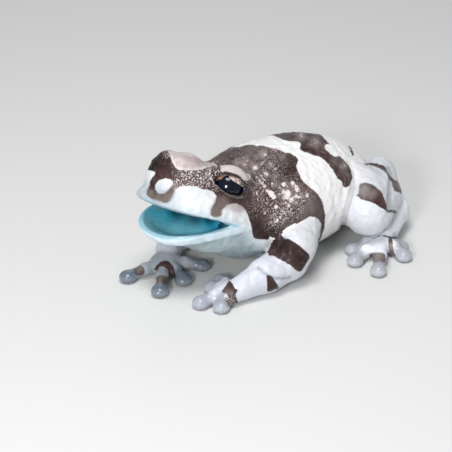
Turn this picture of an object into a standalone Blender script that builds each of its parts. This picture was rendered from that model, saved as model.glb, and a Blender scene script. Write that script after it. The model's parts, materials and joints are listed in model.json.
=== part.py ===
import bpy
import bmesh
import numpy as np
from mathutils import Matrix, Vector

# A tree frog crouched on the floor with its mouth open, made of smooth solids.
# Lengths below are millimetres; the finished meshes are scaled to metres at the end.
# The frog faces -X, its left side is -Y and the floor is z = 0.

for old in list(bpy.data.objects):
    bpy.data.objects.remove(old, do_unlink=True)

collection = bpy.data.collections.new("amazon_milk_frog")
bpy.context.scene.collection.children.link(collection)
cutters = bpy.data.collections.new("cutters")
bpy.context.scene.collection.children.link(cutters)
cutters.hide_render = True

GAP = 0.3


# Shape rules: each gives the distance of points from a shape, less than nought inside.
def vec(x, y, z):
    return np.array([x, y, z], dtype=float)


def unit(v):
    return v / np.linalg.norm(v)


def blend(a, b, k):
    # The two shapes as one, with the corner between them filled to a width k.
    h = np.clip(0.5 + 0.5 * (b - a) / k, 0, 1)
    return b + (a - b) * h - k * h * (1 - h)


def trim(a, b, k):
    # What the two shapes share, with the edge between them rounded to a width k.
    return -blend(-a, -b, k)


def ball_distance(p, centre, radii, axes):
    q = (p - centre) @ axes.T
    m = np.sqrt(((q / radii) ** 2).sum(1)) + 1e-9
    g = np.sqrt(((q / radii ** 2) ** 2).sum(1)) + 1e-9
    return m * (m - 1) / g


def cone_distance(p, a, b, ra, rb):
    ab = b - a
    t = np.clip(((p - a) @ ab) / (ab @ ab), 0, 1)
    q = p - a - t[:, None] * ab
    return np.sqrt((q * q).sum(1)) - (ra + (rb - ra) * t)


def arch_distance(f, l, a, b, n):
    # A horseshoe in plan, a long and b to each side; n sets how square its front is.
    fa = np.abs(f) / a
    la = np.abs(l) / b
    q = (fa ** n + la ** n + 1e-12) ** (1 / n)
    g = np.sqrt((fa ** (n - 1) / a) ** 2 + (la ** (n - 1) / b) ** 2) * q ** (1 - n)
    return (q - 1) / np.maximum(g, 0.03)


WORLD = np.eye(3)
FLIP = vec(1, -1, 1)


def ball(centre, radii, axes=WORLD):
    return ("ball", np.array(centre, float), np.array(radii, float), axes)


def limb(points, radii):
    pieces = []
    for i in range(len(points) - 1):
        a = np.array(points[i], float)
        b = np.array(points[i + 1], float)
        pieces.append(("cone", a, b, radii[i], radii[i + 1]))
    return pieces


def distance(p, pieces, k):
    d = None
    for piece in pieces:
        if piece[0] == "ball":
            e = ball_distance(p, *piece[1:])
        else:
            e = cone_distance(p, *piece[1:])
        d = e if d is None else blend(d, e, k)
    return d


def other_side(pieces):
    flipped = []
    for piece in pieces:
        if piece[0] == "ball":
            flipped.append(("ball", piece[1] * FLIP, piece[2], piece[3] * FLIP))
        else:
            flipped.append(("cone", piece[1] * FLIP, piece[2] * FLIP, piece[3], piece[4]))
    return flipped


# Head pose: the head is raised, rolled a little and turned to the frog's right,
# and the jaw is swung down about the same corner of the mouth.
HEAD_UP = unit(vec(0.441, 0.028, 0.897))
AHEAD = unit(vec(-1, 0, 0) + HEAD_UP[0] * HEAD_UP)
LEFT = np.cross(HEAD_UP, AHEAD)
HEAD_TURN = np.radians(9)
HEAD_F = np.cos(HEAD_TURN) * AHEAD - np.sin(HEAD_TURN) * LEFT
HEAD_L = np.cross(HEAD_UP, HEAD_F)
HEAD = np.array([HEAD_F, HEAD_L, HEAD_UP])
MOUTH_CORNER = vec(-19.05, -9.3, 14.65)
MOUTH_HALF = 10.2
HINGE = MOUTH_CORNER - MOUTH_HALF * HEAD_L

JAW_TURN = np.radians(13)
JAW_DIP = np.radians(3.7)
JAW_L = vec(-np.sin(JAW_TURN), -np.cos(JAW_TURN), 0)
JAW_F = vec(-np.cos(JAW_TURN), np.sin(JAW_TURN), 0) * np.cos(JAW_DIP) - vec(0, 0, np.sin(JAW_DIP))
JAW = np.array([JAW_F, JAW_L, np.cross(JAW_F, JAW_L)])
JAW_HINGE = MOUTH_CORNER - MOUTH_HALF * JAW_L


def in_head(f, l, u):
    return HINGE + vec(f, l, u) @ HEAD


def in_jaw(f, l, u):
    return JAW_HINGE + vec(f, l, u) @ JAW


# Head: a horseshoe in plan whose length and width are given at levels above the
# mouth line, with a low roof, a lid over each eye and a rolled lip along the edge.
EYE = (3.3, 6.6, 6.3)
FAR_EYE_DROP = 0.6
EYE_R = 3.55
LIP = 0.75
BLUNT = 2.35
LEVELS = [-1, 0, 1.2, 2.2, 4.5, 7, 9, 11]
HEAD_LONG = [15.6, 16.0, 15.6, 15.1, 15.7, 15.7, 14.7, 12.4]
HEAD_WIDE = [10.0, 10.3, 10.2, 9.8, 8.7, 7.4, 6.2, 5.0]
ROOF_AT = [-6, 2, 8, 13, 16]
ROOF = [8.0, 8.0, 8.6, 10.2, 9.9]
NAPE = -9
LID = vec(2.9, 6.1, 6.6)
LID_SIZE = vec(4.8, 3.7, 3.3)
FAR_LID_DROP = 1.0
UPPER_LIP_LONG, UPPER_LIP_HALF = 15.9, 10.28


def lip_bead(f, l, u, a, b):
    inset = arch_distance(f, l, a, b, BLUNT) + LIP
    return np.sqrt(inset ** 2 + u ** 2) - LIP + 0.6 * np.clip(-f, 0, 9)


def head_shape(p):
    q = (p - HINGE) @ HEAD.T
    f, l, u = q.T
    d = arch_distance(f, l, np.interp(u, LEVELS, HEAD_LONG), np.interp(u, LEVELS, HEAD_WIDE), BLUNT)
    roof = np.interp(f, ROOF_AT, ROOF) + 0.02 * l ** 2
    under = 0.3 + 4.0 * np.clip(f / NAPE, 0, 1)
    d = trim(d, u - roof, 2.0)
    d = trim(d, -u - under, 1.7)
    d = trim(d, NAPE - f, 2.5)
    for lid in (LID, LID * FLIP - vec(0, 0, FAR_LID_DROP)):
        d = blend(d, ball_distance(q, lid, LID_SIZE, WORLD), 1.4)
    return blend(d, lip_bead(f, l, u - 0.3, UPPER_LIP_LONG, UPPER_LIP_HALF), 0.5)


head_seed = [
    ball(in_head(3, 0, 3.5), (13.5, 9.6, 4.6), HEAD),
    ball(in_head(-2, 0, 2.5), (8, 9.4, 6.0), HEAD),
    ball(in_head(11, 0, 4.4), (6, 6.5, 5.0), HEAD),
    ball(in_head(*LID), LID_SIZE, HEAD),
    ball(in_head(*(LID * FLIP)), LID_SIZE, HEAD),
]

# Lower jaw: a shallow dish with a rolled rim, over the two balls of the throat.
JAW_LEVELS = [-3, -1.5, 0, 1]
JAW_LONG = [13.9, 14.9, 15.3, 14.9]
JAW_WIDE = [8.6, 9.8, 10.1, 9.8]
WAIST_AT = [0, 4, 8, 12, 15]
WAIST = [1.0, 0.93, 0.90, 0.96, 1.0]
LOWER_LIP_LONG, LOWER_LIP_HALF = 15.2, 10.0
JAW_DEEP = 2.1
JAW_BACK = -5
CLOSED_AT = -0.1

throat_pieces = [
    ball(in_jaw(6.0, 0, -1.9), (7.0, 6.2, 2.1), JAW),
    ball(in_jaw(0.6, 0, -3.6), (7.6, 8.2, 4.6), JAW),
    ball((-13.0, 0, 10.0), (6.0, 8.8, 6.9)),
]


def jaw_shape(p):
    q = (p - JAW_HINGE) @ JAW.T
    f, l, u = q.T
    rise = 0.5 * np.exp(-((f - 8) / 5) ** 2)
    long = np.interp(u, JAW_LEVELS, JAW_LONG)
    wide = np.interp(u, JAW_LEVELS, JAW_WIDE)
    across = l / np.interp(f, WAIST_AT, WAIST)
    d = arch_distance(f, across, long, wide, 2.3)
    d = trim(d, u - rise, 1.2)
    d = blend(d, lip_bead(f, across, u - rise + 0.55, LOWER_LIP_LONG, LOWER_LIP_HALF), 0.5)
    d = trim(d, -u - JAW_DEEP, 1.2)
    d = trim(d, JAW_BACK - f, 1.0)
    d = blend(d, distance(p, throat_pieces, 3.0), 2.0)
    q = (p - HINGE) @ HEAD.T
    return trim(d, q[:, 2] - CLOSED_AT, 0.3)


jaw_seed = throat_pieces + [
    ball(in_jaw(3, 0, -1.0), (13, 9.5, 1.6), JAW),
    ball(in_jaw(0, 0, -2.0), (8, 9.5, 3.0), JAW),
]

# Mouth: a hollow in the roof, one in the dish, and the tongue on its floor.
palate = [ball(in_head(4.6, 0, -0.2), (9.8, 8.1, 2.6), HEAD)]
basin = [ball(in_jaw(4.2, 0, 0.7), (9.8, 8.1, 3.1), JAW)]
TONGUE_AT = (5.2, 0, -1.75)
TONGUE_SIZE = (6.2, 4.6, 0.75)
NOSTRIL = vec(15.0, 2.7, 8.3)
NOSTRIL_R = 0.5

# Torso: belly, hips, shoulders and rump in turn.
torso_pieces = [
    ball((2, 0, 10.7), (15.5, 13.4, 11.1)),
    ball((11.0, 0, 9.8), (12.7, 12.0, 9.3)),
    ball((-6.5, 0, 12.6), (11.0, 11.8, 9.7)),
    ball((19.8, 0, 8.2), (5.3, 7.5, 5.2)),
]

# Arms: a line of points from shoulder to wrist, with the thickness at each.
left_upper_arm = limb([(-4.8, -11.6, 8.9), (-8.1, -12.7, 7.4), (-9.9, -12.8, 5.4)], [3.5, 3.75, 3.7])
left_forearm = limb([(-10.2, -12.6, 4.6), (-15.5, -11.6, 3.6), (-20.6, -10.4, 2.6)], [3.7, 3.2, 2.5])
right_upper_arm = limb([(-4.8, 11.6, 8.9), (-8.2, 13.2, 7.3), (-10.3, 14.3, 5.4)], [3.5, 3.75, 3.7])
right_forearm = limb([(-10.8, 14.2, 4.6), (-15.6, 12.4, 3.6), (-19.6, 10.2, 2.7)], [3.6, 3.1, 2.5])


def digits(root, lift, tips, thick, pad):
    # Toes from one root to the given places on the floor, each with a round pad.
    pieces = []
    for tip in tips:
        end = vec(tip[0], tip[1], 1.05)
        start = np.array(root, float)
        middle = 0.45 * start + 0.55 * end + vec(0, 0, lift)
        pieces += limb([start, middle, end], [thick * 1.35, thick, thick * 0.92])
        pieces.append(ball(end, (pad, pad, 1.2)))
    return pieces


LEFT_TIPS = [(-26.8, -10.5), (-28.3, -6.6), (-22.6, -4.2), (-19.3, -3.6)]
RIGHT_TIPS = [(-30.2, 10.8), (-30.1, 2.3), (-23.9, 2.0), (-17.2, 3.4)]
FOOT_TIPS = [(4.3, -17.8), (4.1, -23.7), (12.4, -23.7), (7.9, -14.4), (14.8, -21.2)]

left_hand = [ball((-22.9, -9.0, 1.9), (3.4, 3.1, 1.9))]
left_hand += digits((-22.6, -9.0, 1.8), 0.25, LEFT_TIPS, 1.25, 1.65)
right_hand = [ball((-22.4, 8.2, 2.0), (3.3, 3.1, 1.9))]
right_hand += digits((-22.6, 8.0, 1.9), 0.35, RIGHT_TIPS, 1.12, 1.75)

# Hind legs: folded thigh, shank and foot; the right leg mirrors the left.
left_thigh = limb([(16.4, -6.4, 9.0), (14.2, -10.5, 9.3), (10.6, -15.2, 9.2)], [5.8, 5.7, 4.9])
left_shank = limb([(10.4, -16.2, 8.7), (18, -12.5, 8.6), (26.8, -6.2, 8.4)], [4.4, 4.5, 3.5])
left_foot = limb([(27.4, -7.0, 6.0), (21.5, -14.0, 4.4), (14.0, -17.6, 2.8)], [3.0, 3.2, 2.2])
left_foot += digits((12.8, -17.8, 2.2), 0.3, FOOT_TIPS, 1.25, 1.65)


def put(name, mesh, where=None):
    thing = bpy.data.objects.new(name, mesh)
    (where or collection).objects.link(thing)
    return thing


def finished(thing):
    graph = bpy.context.evaluated_depsgraph_get()
    mesh = bpy.data.meshes.new_from_object(thing.evaluated_get(graph))
    mesh.transform(thing.matrix_world)
    bpy.data.objects.remove(thing, do_unlink=True)
    return mesh


def matrix_of(centre, axes):
    m = Matrix.Identity(4)
    for i in range(3):
        for j in range(3):
            m[j][i] = axes[i][j]
    m.translation = Vector(centre)
    return m


def seed_mesh(pieces):
    # Rough balls and cones where the shape will be, to be fused and then settled.
    bm = bmesh.new()
    for piece in pieces:
        if piece[0] == "ball":
            place = matrix_of(piece[1], piece[3]) @ Matrix.Diagonal((*piece[2], 1.0))
            bmesh.ops.create_icosphere(bm, subdivisions=3, radius=1.0, matrix=place)
        else:
            a, b, ra, rb = piece[1:]
            turn = Vector(b - a).to_track_quat("Z", "Y").to_matrix().to_4x4()
            place = Matrix.Translation(Vector((a + b) / 2)) @ turn
            long = float(np.linalg.norm(b - a))
            bmesh.ops.create_cone(
                bm, cap_ends=True, segments=20, radius1=ra, radius2=rb, depth=long, matrix=place)
            for end, r in ((a, ra), (b, rb)):
                place = Matrix.Translation(Vector(end))
                bmesh.ops.create_icosphere(bm, subdivisions=3, radius=r, matrix=place)
    bmesh.ops.recalc_face_normals(bm, faces=bm.faces)
    mesh = bpy.data.meshes.new("seed")
    bm.to_mesh(mesh)
    bm.free()
    return mesh


def points_of(mesh):
    p = np.empty(len(mesh.vertices) * 3)
    mesh.vertices.foreach_get("co", p)
    return p.reshape(-1, 3)


def settle(mesh, field, rounds, limit, relax):
    # Moves the points onto the surface where the field is nought, evening the mesh.
    p = points_of(mesh)
    edges = np.empty(len(mesh.edges) * 2, dtype=np.int64)
    mesh.edges.foreach_get("vertices", edges)
    edges = edges.reshape(-1, 2)
    count = np.bincount(edges.ravel(), minlength=len(p))[:, None]
    step = 0.02
    for turn in range(rounds):
        if relax and turn < rounds - 2:
            total = np.zeros_like(p)
            np.add.at(total, edges[:, 0], p[edges[:, 1]])
            np.add.at(total, edges[:, 1], p[edges[:, 0]])
            p = p + relax * (total / count - p)
        d = field(p)
        slope = np.stack([(field(p + step * WORLD[i]) - d) / step for i in range(3)], 1)
        size = (slope ** 2).sum(1) + 0.05
        move = -(d / size)[:, None] * slope
        far = np.sqrt((move ** 2).sum(1))[:, None] + 1e-9
        p = p + move * np.minimum(1.0, limit / far)
    mesh.vertices.foreach_set("co", p.ravel())
    mesh.update()


def keep_largest(mesh):
    # Merges doubled points and drops any loose chips, as triangles facing outward.
    bm = bmesh.new()
    bm.from_mesh(mesh)
    bmesh.ops.remove_doubles(bm, verts=bm.verts, dist=0.0005)
    bmesh.ops.dissolve_degenerate(bm, edges=bm.edges, dist=0.0005)
    bm.verts.index_update()
    seen = set()
    groups = []
    for start in bm.verts:
        if start.index in seen:
            continue
        group = []
        stack = [start]
        seen.add(start.index)
        while stack:
            v = stack.pop()
            group.append(v)
            for e in v.link_edges:
                o = e.other_vert(v)
                if o.index not in seen:
                    seen.add(o.index)
                    stack.append(o)
        groups.append(group)
    groups.sort(key=len)
    for group in groups[:-1]:
        bmesh.ops.delete(bm, geom=group, context="VERTS")
    bmesh.ops.triangulate(bm, faces=bm.faces)
    bmesh.ops.recalc_face_normals(bm, faces=bm.faces)
    bm.to_mesh(mesh)
    bm.free()
    return mesh


def grow(name, seeds, field, voxel, faces, turns=1):
    mesh = seed_mesh(seeds)
    for turn in range(turns):
        thing = put(name + "_seed", mesh, cutters)
        remesh = thing.modifiers.new("even", "REMESH")
        remesh.mode = "VOXEL"
        remesh.voxel_size = voxel
        mesh = keep_largest(finished(thing))
        settle(mesh, field, 10, 0.8, 0.4)
    thing = put(name + "_fine", mesh, cutters)
    thin = thing.modifiers.new("thin", "DECIMATE")
    thin.ratio = min(1.0, faces / max(1, len(mesh.polygons)))
    mesh = keep_largest(finished(thing))
    settle(mesh, field, 2, 0.1, 0.0)
    return mesh


def grow_pieces(name, pieces, k, voxel, faces):
    return grow(name, pieces, lambda p: distance(p, pieces, k), voxel, faces)


def swollen(mesh, by):
    # The mesh made fatter all round, the cutter that leaves a gap to a neighbour.
    copy = mesh.copy()
    copy.update()
    normals = np.empty(len(copy.vertices) * 3)
    copy.vertices.foreach_get("normal", normals)
    p = points_of(copy) + by * normals.reshape(-1, 3)
    copy.vertices.foreach_set("co", p.ravel())
    copy.update()
    return copy


def volume_of(mesh):
    bm = bmesh.new()
    bm.from_mesh(mesh)
    volume = bm.calc_volume()
    bm.free()
    return volume


def is_closed(mesh):
    bm = bmesh.new()
    bm.from_mesh(mesh)
    closed = all(len(e.link_faces) == 2 for e in bm.edges)
    bm.free()
    return closed


def difference(mesh, tool, solver):
    a = put("stock", mesh.copy(), cutters)
    b = put("tool", tool.copy(), cutters)
    b.display_type = "WIRE"
    b.hide_render = True
    boolean = a.modifiers.new("cut", "BOOLEAN")
    boolean.operation = "DIFFERENCE"
    boolean.solver = solver
    boolean.object = b
    result = keep_largest(finished(a))
    bpy.data.objects.remove(b, do_unlink=True)
    return result


def cut(mesh, tool):
    # EXACT is used unless it leaves an open mesh or another volume than MANIFOLD.
    result = difference(mesh, tool, "EXACT")
    second = difference(mesh, tool, "MANIFOLD")
    apart = abs(volume_of(result) - volume_of(second))
    if apart > 0.5 or not is_closed(result):
        if len(second.polygons) and is_closed(second):
            result = second
    return result


def box_mesh(low, high):
    bm = bmesh.new()
    size = Matrix.Diagonal((*[h - l for l, h in zip(low, high)], 1.0))
    middle = Vector([(h + l) / 2 for l, h in zip(low, high)])
    bmesh.ops.create_cube(bm, size=1.0, matrix=Matrix.Translation(middle) @ size)
    mesh = bpy.data.meshes.new("box")
    bm.to_mesh(mesh)
    bm.free()
    return mesh


def sphere_mesh(centre, radii, axes, around, rings):
    bm = bmesh.new()
    place = matrix_of(centre, axes) @ Matrix.Diagonal((*radii, 1.0))
    bmesh.ops.create_uvsphere(bm, u_segments=around, v_segments=rings, radius=1.0, matrix=place)
    bmesh.ops.triangulate(bm, faces=bm.faces)
    mesh = bpy.data.meshes.new("sphere")
    bm.to_mesh(mesh)
    bm.free()
    return mesh


# Eyes: balls that look out to each side, seen through the slot between the lids.
SLOT_SIZE = (2.85, 1.95, 2.6)
SLOT_OUT = 2.2


def eye_axes(side):
    look = unit(0.20 * HEAD_F + side * 0.93 * HEAD_L + 0.20 * HEAD_UP)
    along = unit(HEAD_F - (HEAD_F @ look) * look)
    return np.array([along, np.cross(look, along), look])


eye_mesh = {}
slot_mesh = {}
for name, side in (("left_eye", 1), ("right_eye", -1)):
    centre = in_head(EYE[0], side * EYE[1], EYE[2] - (FAR_EYE_DROP if side < 0 else 0.0))
    frame = eye_axes(side)
    eye_mesh[name] = sphere_mesh(centre, (EYE_R, EYE_R, EYE_R), frame, 18, 10)
    slot_mesh[name] = sphere_mesh(centre + SLOT_OUT * frame[2], SLOT_SIZE, frame, 20, 10)

# Solids in order: each one is cut back by those before it, which keep their shape.
order = []
plain = {}


def add(name, mesh):
    order.append((name, mesh))
    plain.setdefault(name, mesh.copy())


head = grow("head", head_seed, head_shape, 0.36, 2700, 3)
plain["head"] = head.copy()
for name in eye_mesh:
    head = cut(head, swollen(eye_mesh[name], GAP))
    head = cut(head, slot_mesh[name])
head = cut(head, grow_pieces("palate", palate, 1.0, 0.5, 280))
for place in (NOSTRIL, NOSTRIL * FLIP):
    pit = sphere_mesh(in_head(*place), (NOSTRIL_R, 0.8 * NOSTRIL_R, NOSTRIL_R), HEAD, 10, 6)
    head = cut(head, pit)
jaw = grow("jaw", jaw_seed, jaw_shape, 0.36, 1700, 3)
plain["lower_jaw"] = jaw.copy()
jaw = cut(jaw, grow_pieces("basin", basin, 1.0, 0.5, 280))
tongue = sphere_mesh(in_jaw(*TONGUE_AT), TONGUE_SIZE, JAW, 18, 8)

add("left_eye", eye_mesh["left_eye"])
add("right_eye", eye_mesh["right_eye"])
add("head", head)
add("tongue", tongue)
add("lower_jaw", jaw)
add("torso", grow_pieces("torso", torso_pieces, 4.0, 0.7, 1300))
add("left_upper_arm", grow_pieces("left_upper_arm", left_upper_arm, 1.5, 0.5, 270))
add("right_upper_arm", grow_pieces("right_upper_arm", right_upper_arm, 1.5, 0.5, 270))
add("left_hand", grow_pieces("left_hand", left_hand, 0.7, 0.3, 800))
add("right_hand", grow_pieces("right_hand", right_hand, 0.7, 0.3, 800))
add("left_forearm", grow_pieces("left_forearm", left_forearm, 1.5, 0.5, 270))
add("right_forearm", grow_pieces("right_forearm", right_forearm, 1.5, 0.5, 270))
add("left_thigh", grow_pieces("left_thigh", left_thigh, 1.5, 0.6, 320))
add("right_thigh", grow_pieces("right_thigh", other_side(left_thigh), 1.5, 0.6, 320))
add("left_shank", grow_pieces("left_shank", left_shank, 1.5, 0.6, 310))
add("right_shank", grow_pieces("right_shank", other_side(left_shank), 1.5, 0.6, 310))
add("left_foot", grow_pieces("left_foot", left_foot, 0.8, 0.35, 860))
add("right_foot", grow_pieces("right_foot", other_side(left_foot), 0.8, 0.35, 860))


def spans(mesh):
    p = points_of(mesh)
    return p.min(0), p.max(0)


done = []
for name, mesh in order:
    low, high = spans(mesh)
    for earlier, other in done:
        if name == "head" and earlier.endswith("eye"):
            continue
        a, b = spans(other)
        if np.all(low < b + GAP) and np.all(a - GAP < high):
            mesh = cut(mesh, swollen(plain[earlier], GAP))
    if low[2] < 0:
        mesh = cut(mesh, box_mesh((-60, -60, -10), (60, 60, 0)))
    done.append((name, mesh))

# Finish: the frog is centred over the floor's middle, scaled to metres and given
# a material for each solid.
MILLIMETRE = 0.001
low = np.min([spans(mesh)[0] for name, mesh in done], axis=0)
high = np.max([spans(mesh)[1] for name, mesh in done], axis=0)
shift = Matrix.Translation((-(low[0] + high[0]) / 2, -(low[1] + high[1]) / 2, 0))

SKIN = (0.62, 0.60, 0.62, 1.0)
JAW_SKIN = (0.70, 0.76, 0.80, 1.0)
TONGUE_SKIN = (0.25, 0.52, 0.60, 1.0)
EYE_DARK = (0.02, 0.02, 0.05, 1.0)
for name, mesh in done:
    mesh = keep_largest(mesh)
    mesh.transform(Matrix.Scale(MILLIMETRE, 4) @ shift)
    mesh.name = name
    material = bpy.data.materials.new(name)
    material.use_nodes = True
    shader = material.node_tree.nodes["Principled BSDF"]
    colour = SKIN
    rough = 0.45
    if name == "lower_jaw":
        colour = JAW_SKIN
    if name == "tongue":
        colour = TONGUE_SKIN
    if name.endswith("eye"):
        colour = EYE_DARK
        rough = 0.08
    shader.inputs["Base Color"].default_value = colour
    shader.inputs["Roughness"].default_value = rough
    shader.inputs["Metallic"].default_value = 0.0
    mesh.materials.clear()
    mesh.materials.append(material)
    for polygon in mesh.polygons:
        polygon.use_smooth = True
    put(name, mesh)
print("shift", shift.translation[:])
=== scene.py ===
import json
import math
import bmesh
import bpy
import numpy as np
from mathutils import Matrix, Vector

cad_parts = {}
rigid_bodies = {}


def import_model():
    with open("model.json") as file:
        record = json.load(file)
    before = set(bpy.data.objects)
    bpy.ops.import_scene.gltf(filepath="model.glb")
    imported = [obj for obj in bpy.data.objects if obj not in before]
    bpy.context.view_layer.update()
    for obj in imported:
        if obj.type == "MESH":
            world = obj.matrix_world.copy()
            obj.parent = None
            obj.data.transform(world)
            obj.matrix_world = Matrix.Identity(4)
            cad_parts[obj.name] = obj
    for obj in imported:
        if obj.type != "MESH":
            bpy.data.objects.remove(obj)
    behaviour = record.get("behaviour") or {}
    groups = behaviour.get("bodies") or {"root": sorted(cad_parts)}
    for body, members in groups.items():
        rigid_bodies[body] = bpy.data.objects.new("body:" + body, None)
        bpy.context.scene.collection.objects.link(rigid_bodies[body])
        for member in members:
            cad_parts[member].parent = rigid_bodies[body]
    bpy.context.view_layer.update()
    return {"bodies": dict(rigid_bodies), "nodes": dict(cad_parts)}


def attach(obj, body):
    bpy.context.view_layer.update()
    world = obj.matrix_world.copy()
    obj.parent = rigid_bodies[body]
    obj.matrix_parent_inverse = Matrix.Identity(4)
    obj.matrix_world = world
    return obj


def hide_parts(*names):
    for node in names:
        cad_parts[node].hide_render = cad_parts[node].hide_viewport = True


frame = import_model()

scene = bpy.context.scene

# Viewpoint: a long lens on a stand looks down at the frog's left front. It comes first
# because the painted markings and the slit between the eyelids are laid out on the
# skin as they are seen from here. Lengths are millimetres, places in the picture pixels.
MM = 0.001
FRAME = 452
FOCAL = 1700.0
RANGE = 350.0
PIXEL = RANGE / FOCAL
AZIMUTH = math.radians(-48)
HEIGHT = math.radians(27)
FILM = 36
NEAREST = 0.01


def vec(x, y, z):
    return np.array([x, y, z], dtype=float)


def unit(v):
    return v / np.linalg.norm(v)


AIM = vec(0, 12.5, 0)
SHIFT = vec(0.7723, 0.0, 0.0)
LEVEL = vec(math.sin(AZIMUTH), -math.cos(AZIMUTH), 0)
BACK = LEVEL * math.cos(HEIGHT) + vec(0, 0, math.sin(HEIGHT))
RIGHT = unit(np.cross(-BACK, vec(0, 0, 1)))
UP = np.cross(RIGHT, -BACK)
EYEPOINT = AIM + RANGE * BACK
camera = bpy.data.objects.new("camera", bpy.data.cameras.new("camera"))
scene.collection.objects.link(camera)
camera.data.sensor_width = FILM
camera.data.lens = FOCAL / FRAME * FILM
camera.data.clip_start = NEAREST
camera.matrix_world = Matrix([(*row, 0) for row in np.array([RIGHT, UP, BACK]).T] + [(0, 0, 0, 1)])
camera.location = Vector((EYEPOINT + SHIFT) * MM)
scene.camera = camera
scene.view_settings.view_transform = "Standard"


def picture(p):
    # where points of the frog are seen, in picture pixels across and down
    d = p - EYEPOINT
    z = -(d @ BACK)
    return np.stack([FRAME / 2 + FOCAL * (d @ RIGHT) / z, FRAME / 2 - FOCAL * (d @ UP) / z], 1)


# Trunk: the fat, low body of the frog, soft rubber cast over a stuffed core in one
# with the limbs. Every part of the body is a rule that gives the distance from its
# surface, less than nought inside, and the skin is wrapped round all of them below.
WORLD = np.eye(3)
FLIP = vec(1, -1, 1)
TINY = 1e-9
VAST = 1e9


def blend(a, b, k):
    # two shapes as one, the corner between them filled to the width k
    h = np.clip(0.5 + 0.5 * (b - a) / k, 0, 1)
    return b + (a - b) * h - k * h * (1 - h)


def trim(a, b, k):
    # what two shapes share, the edge between them rounded to the width k
    return -blend(-a, -b, k)


def ease(low, high, x):
    # a gentle step from nought at low to one at high
    t = np.clip((x - low) / (high - low), 0, 1)
    return t * t * (3 - 2 * t)


def ball_distance(p, centre, radii, axes):
    q = (p - centre) @ axes.T
    m = np.sqrt(((q / radii) ** 2).sum(1)) + TINY
    g = np.sqrt(((q / radii ** 2) ** 2).sum(1)) + TINY
    return m * (m - 1) / g


def cone_distance(p, a, b, ra, rb):
    ab = b - a
    t = np.clip(((p - a) @ ab) / (ab @ ab), 0, 1)
    q = p - a - t[:, None] * ab
    return np.sqrt((q * q).sum(1)) - (ra + (rb - ra) * t)


def ball(centre, radii, axes=WORLD):
    return ("ball", np.array(centre, float), np.array(radii, float), axes)


def distance(p, pieces, k):
    d = None
    for piece in pieces:
        rule = ball_distance if piece[0] == "ball" else cone_distance
        e = rule(p, *piece[1:])
        d = e if d is None else blend(d, e, k)
    return d


def rounded(points):
    # a smooth closed curve through the points, as short straight steps
    points = np.array(points, float)
    before, after = np.roll(points, 1, 0), np.roll(points, -1, 0)
    room = np.minimum(np.linalg.norm(after - points, axis=1), np.linalg.norm(points - before, axis=1))
    slope = (after - before) * (room / np.linalg.norm(after - before, axis=1))[:, None]
    steps = []
    for t in (0, 1 / 3, 2 / 3):
        leaving = (2 * t ** 3 - 3 * t ** 2 + 1) * points + (t ** 3 - 2 * t ** 2 + t) * slope
        arriving = (3 * t ** 2 - 2 * t ** 3) * after + (t ** 3 - t ** 2) * np.roll(slope, -1, 0)
        steps.append(leaving + arriving)
    return np.stack(steps, 1).reshape(-1, 2)


FAR_OFF = 9.0


def off_line(px, a, b):
    # the square of the distance to the straight line from a to b
    ab = b - a
    t = np.clip(((px - a) @ ab) / (ab @ ab), 0, 1)
    return ((px - a - t[:, None] * ab) ** 2).sum(1)


def outline(px, curve):
    # distance to a closed curve in pixels, more than nought inside it
    found = np.full(len(px), -FAR_OFF)
    close = ((px > curve.min(0) - FAR_OFF) & (px < curve.max(0) + FAR_OFF)).all(1)
    px = px[close]
    best = np.full(len(px), VAST)
    inside = np.zeros(len(px), bool)
    for a, b in zip(curve, np.roll(curve, -1, 0)):
        best = np.minimum(best, off_line(px, a, b))
        crosses = (a[1] > px[:, 1]) != (b[1] > px[:, 1])
        across, down = b - a
        side = (px[:, 1] - a[1]) * across / (down if down else TINY) + a[0]
        inside ^= crosses & (px[:, 0] < side)
    found[close] = np.where(inside, 1, -1) * np.sqrt(best)
    return found


def together(px, *curves):
    return np.max([outline(px, curve) for curve in curves], 0) * PIXEL


def marked(*curves):
    # a paint rule: how far in millimetres a place is inside the nearest of the curves
    return lambda px: together(px, *curves)


MARGIN = 3.5
regions = []


def add_region(name, rule, soft, pieces, marks, milk, views="here", mirrored=False):
    # soft is how gently the region joins what comes before it, milk its pale colour
    corners = []
    for piece in pieces:
        ends = ((piece[1], max(piece[2])),) if piece[0] == "ball" else (piece[1::2], piece[2::2])
        for end, r in ends:
            corners += [end - r, end + r]
    low, high = np.min(corners, 0) - MARGIN, np.max(corners, 0) + MARGIN
    if mirrored:
        low, high = np.minimum(low * FLIP, high * FLIP), np.maximum(low * FLIP, high * FLIP)
    regions.append({
        "name": name, "rule": rule, "soft": soft, "low": low, "high": high,
        "marks": marks, "milk": milk, "views": views,
    })


TRUNK = [
    ball((2, 0, 10.7), (15.5, 13.4, 11.1)),
    ball((11.0, 0, 9.8), (12.7, 12.0, 9.3)),
    ball((-6.5, 0, 12.6), (11.0, 11.8, 9.7)),
    ball((19.8, 0, 8.2), (5.3, 7.5, 5.2)),
]
TRUNK_SOFT = 4.0
SADDLE = rounded([
    (200, 160), (209, 154), (217, 151), (228, 149), (240, 146.3), (250, 144.8), (262, 145.5), (269, 147.5),
    (284, 152), (293.5, 154.3), (298, 160), (296.5, 166), (298.5, 172.5), (304, 182.5), (316, 192),
    (323, 203.5), (325, 215), (324, 228), (321, 238), (316, 243.5), (312, 247.5), (300, 256), (285, 246),
    (275, 238), (262, 238), (254.6, 238.5), (252, 229.8), (249.5, 221.5), (240, 200), (215, 175),
])
BACK_BAND = rounded([
    (262, 131), (266, 126), (290, 122), (318, 126), (319, 132), (333, 148), (342.7, 158.7), (352, 170.5),
    (352.8, 179), (346.5, 188), (341, 181), (337, 177.6), (330, 166), (320, 156.5), (314, 155.5),
    (306, 152), (300, 149.5), (300.5, 144), (298, 141.5), (288, 141), (281, 138.6), (270, 134.5),
])
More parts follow.
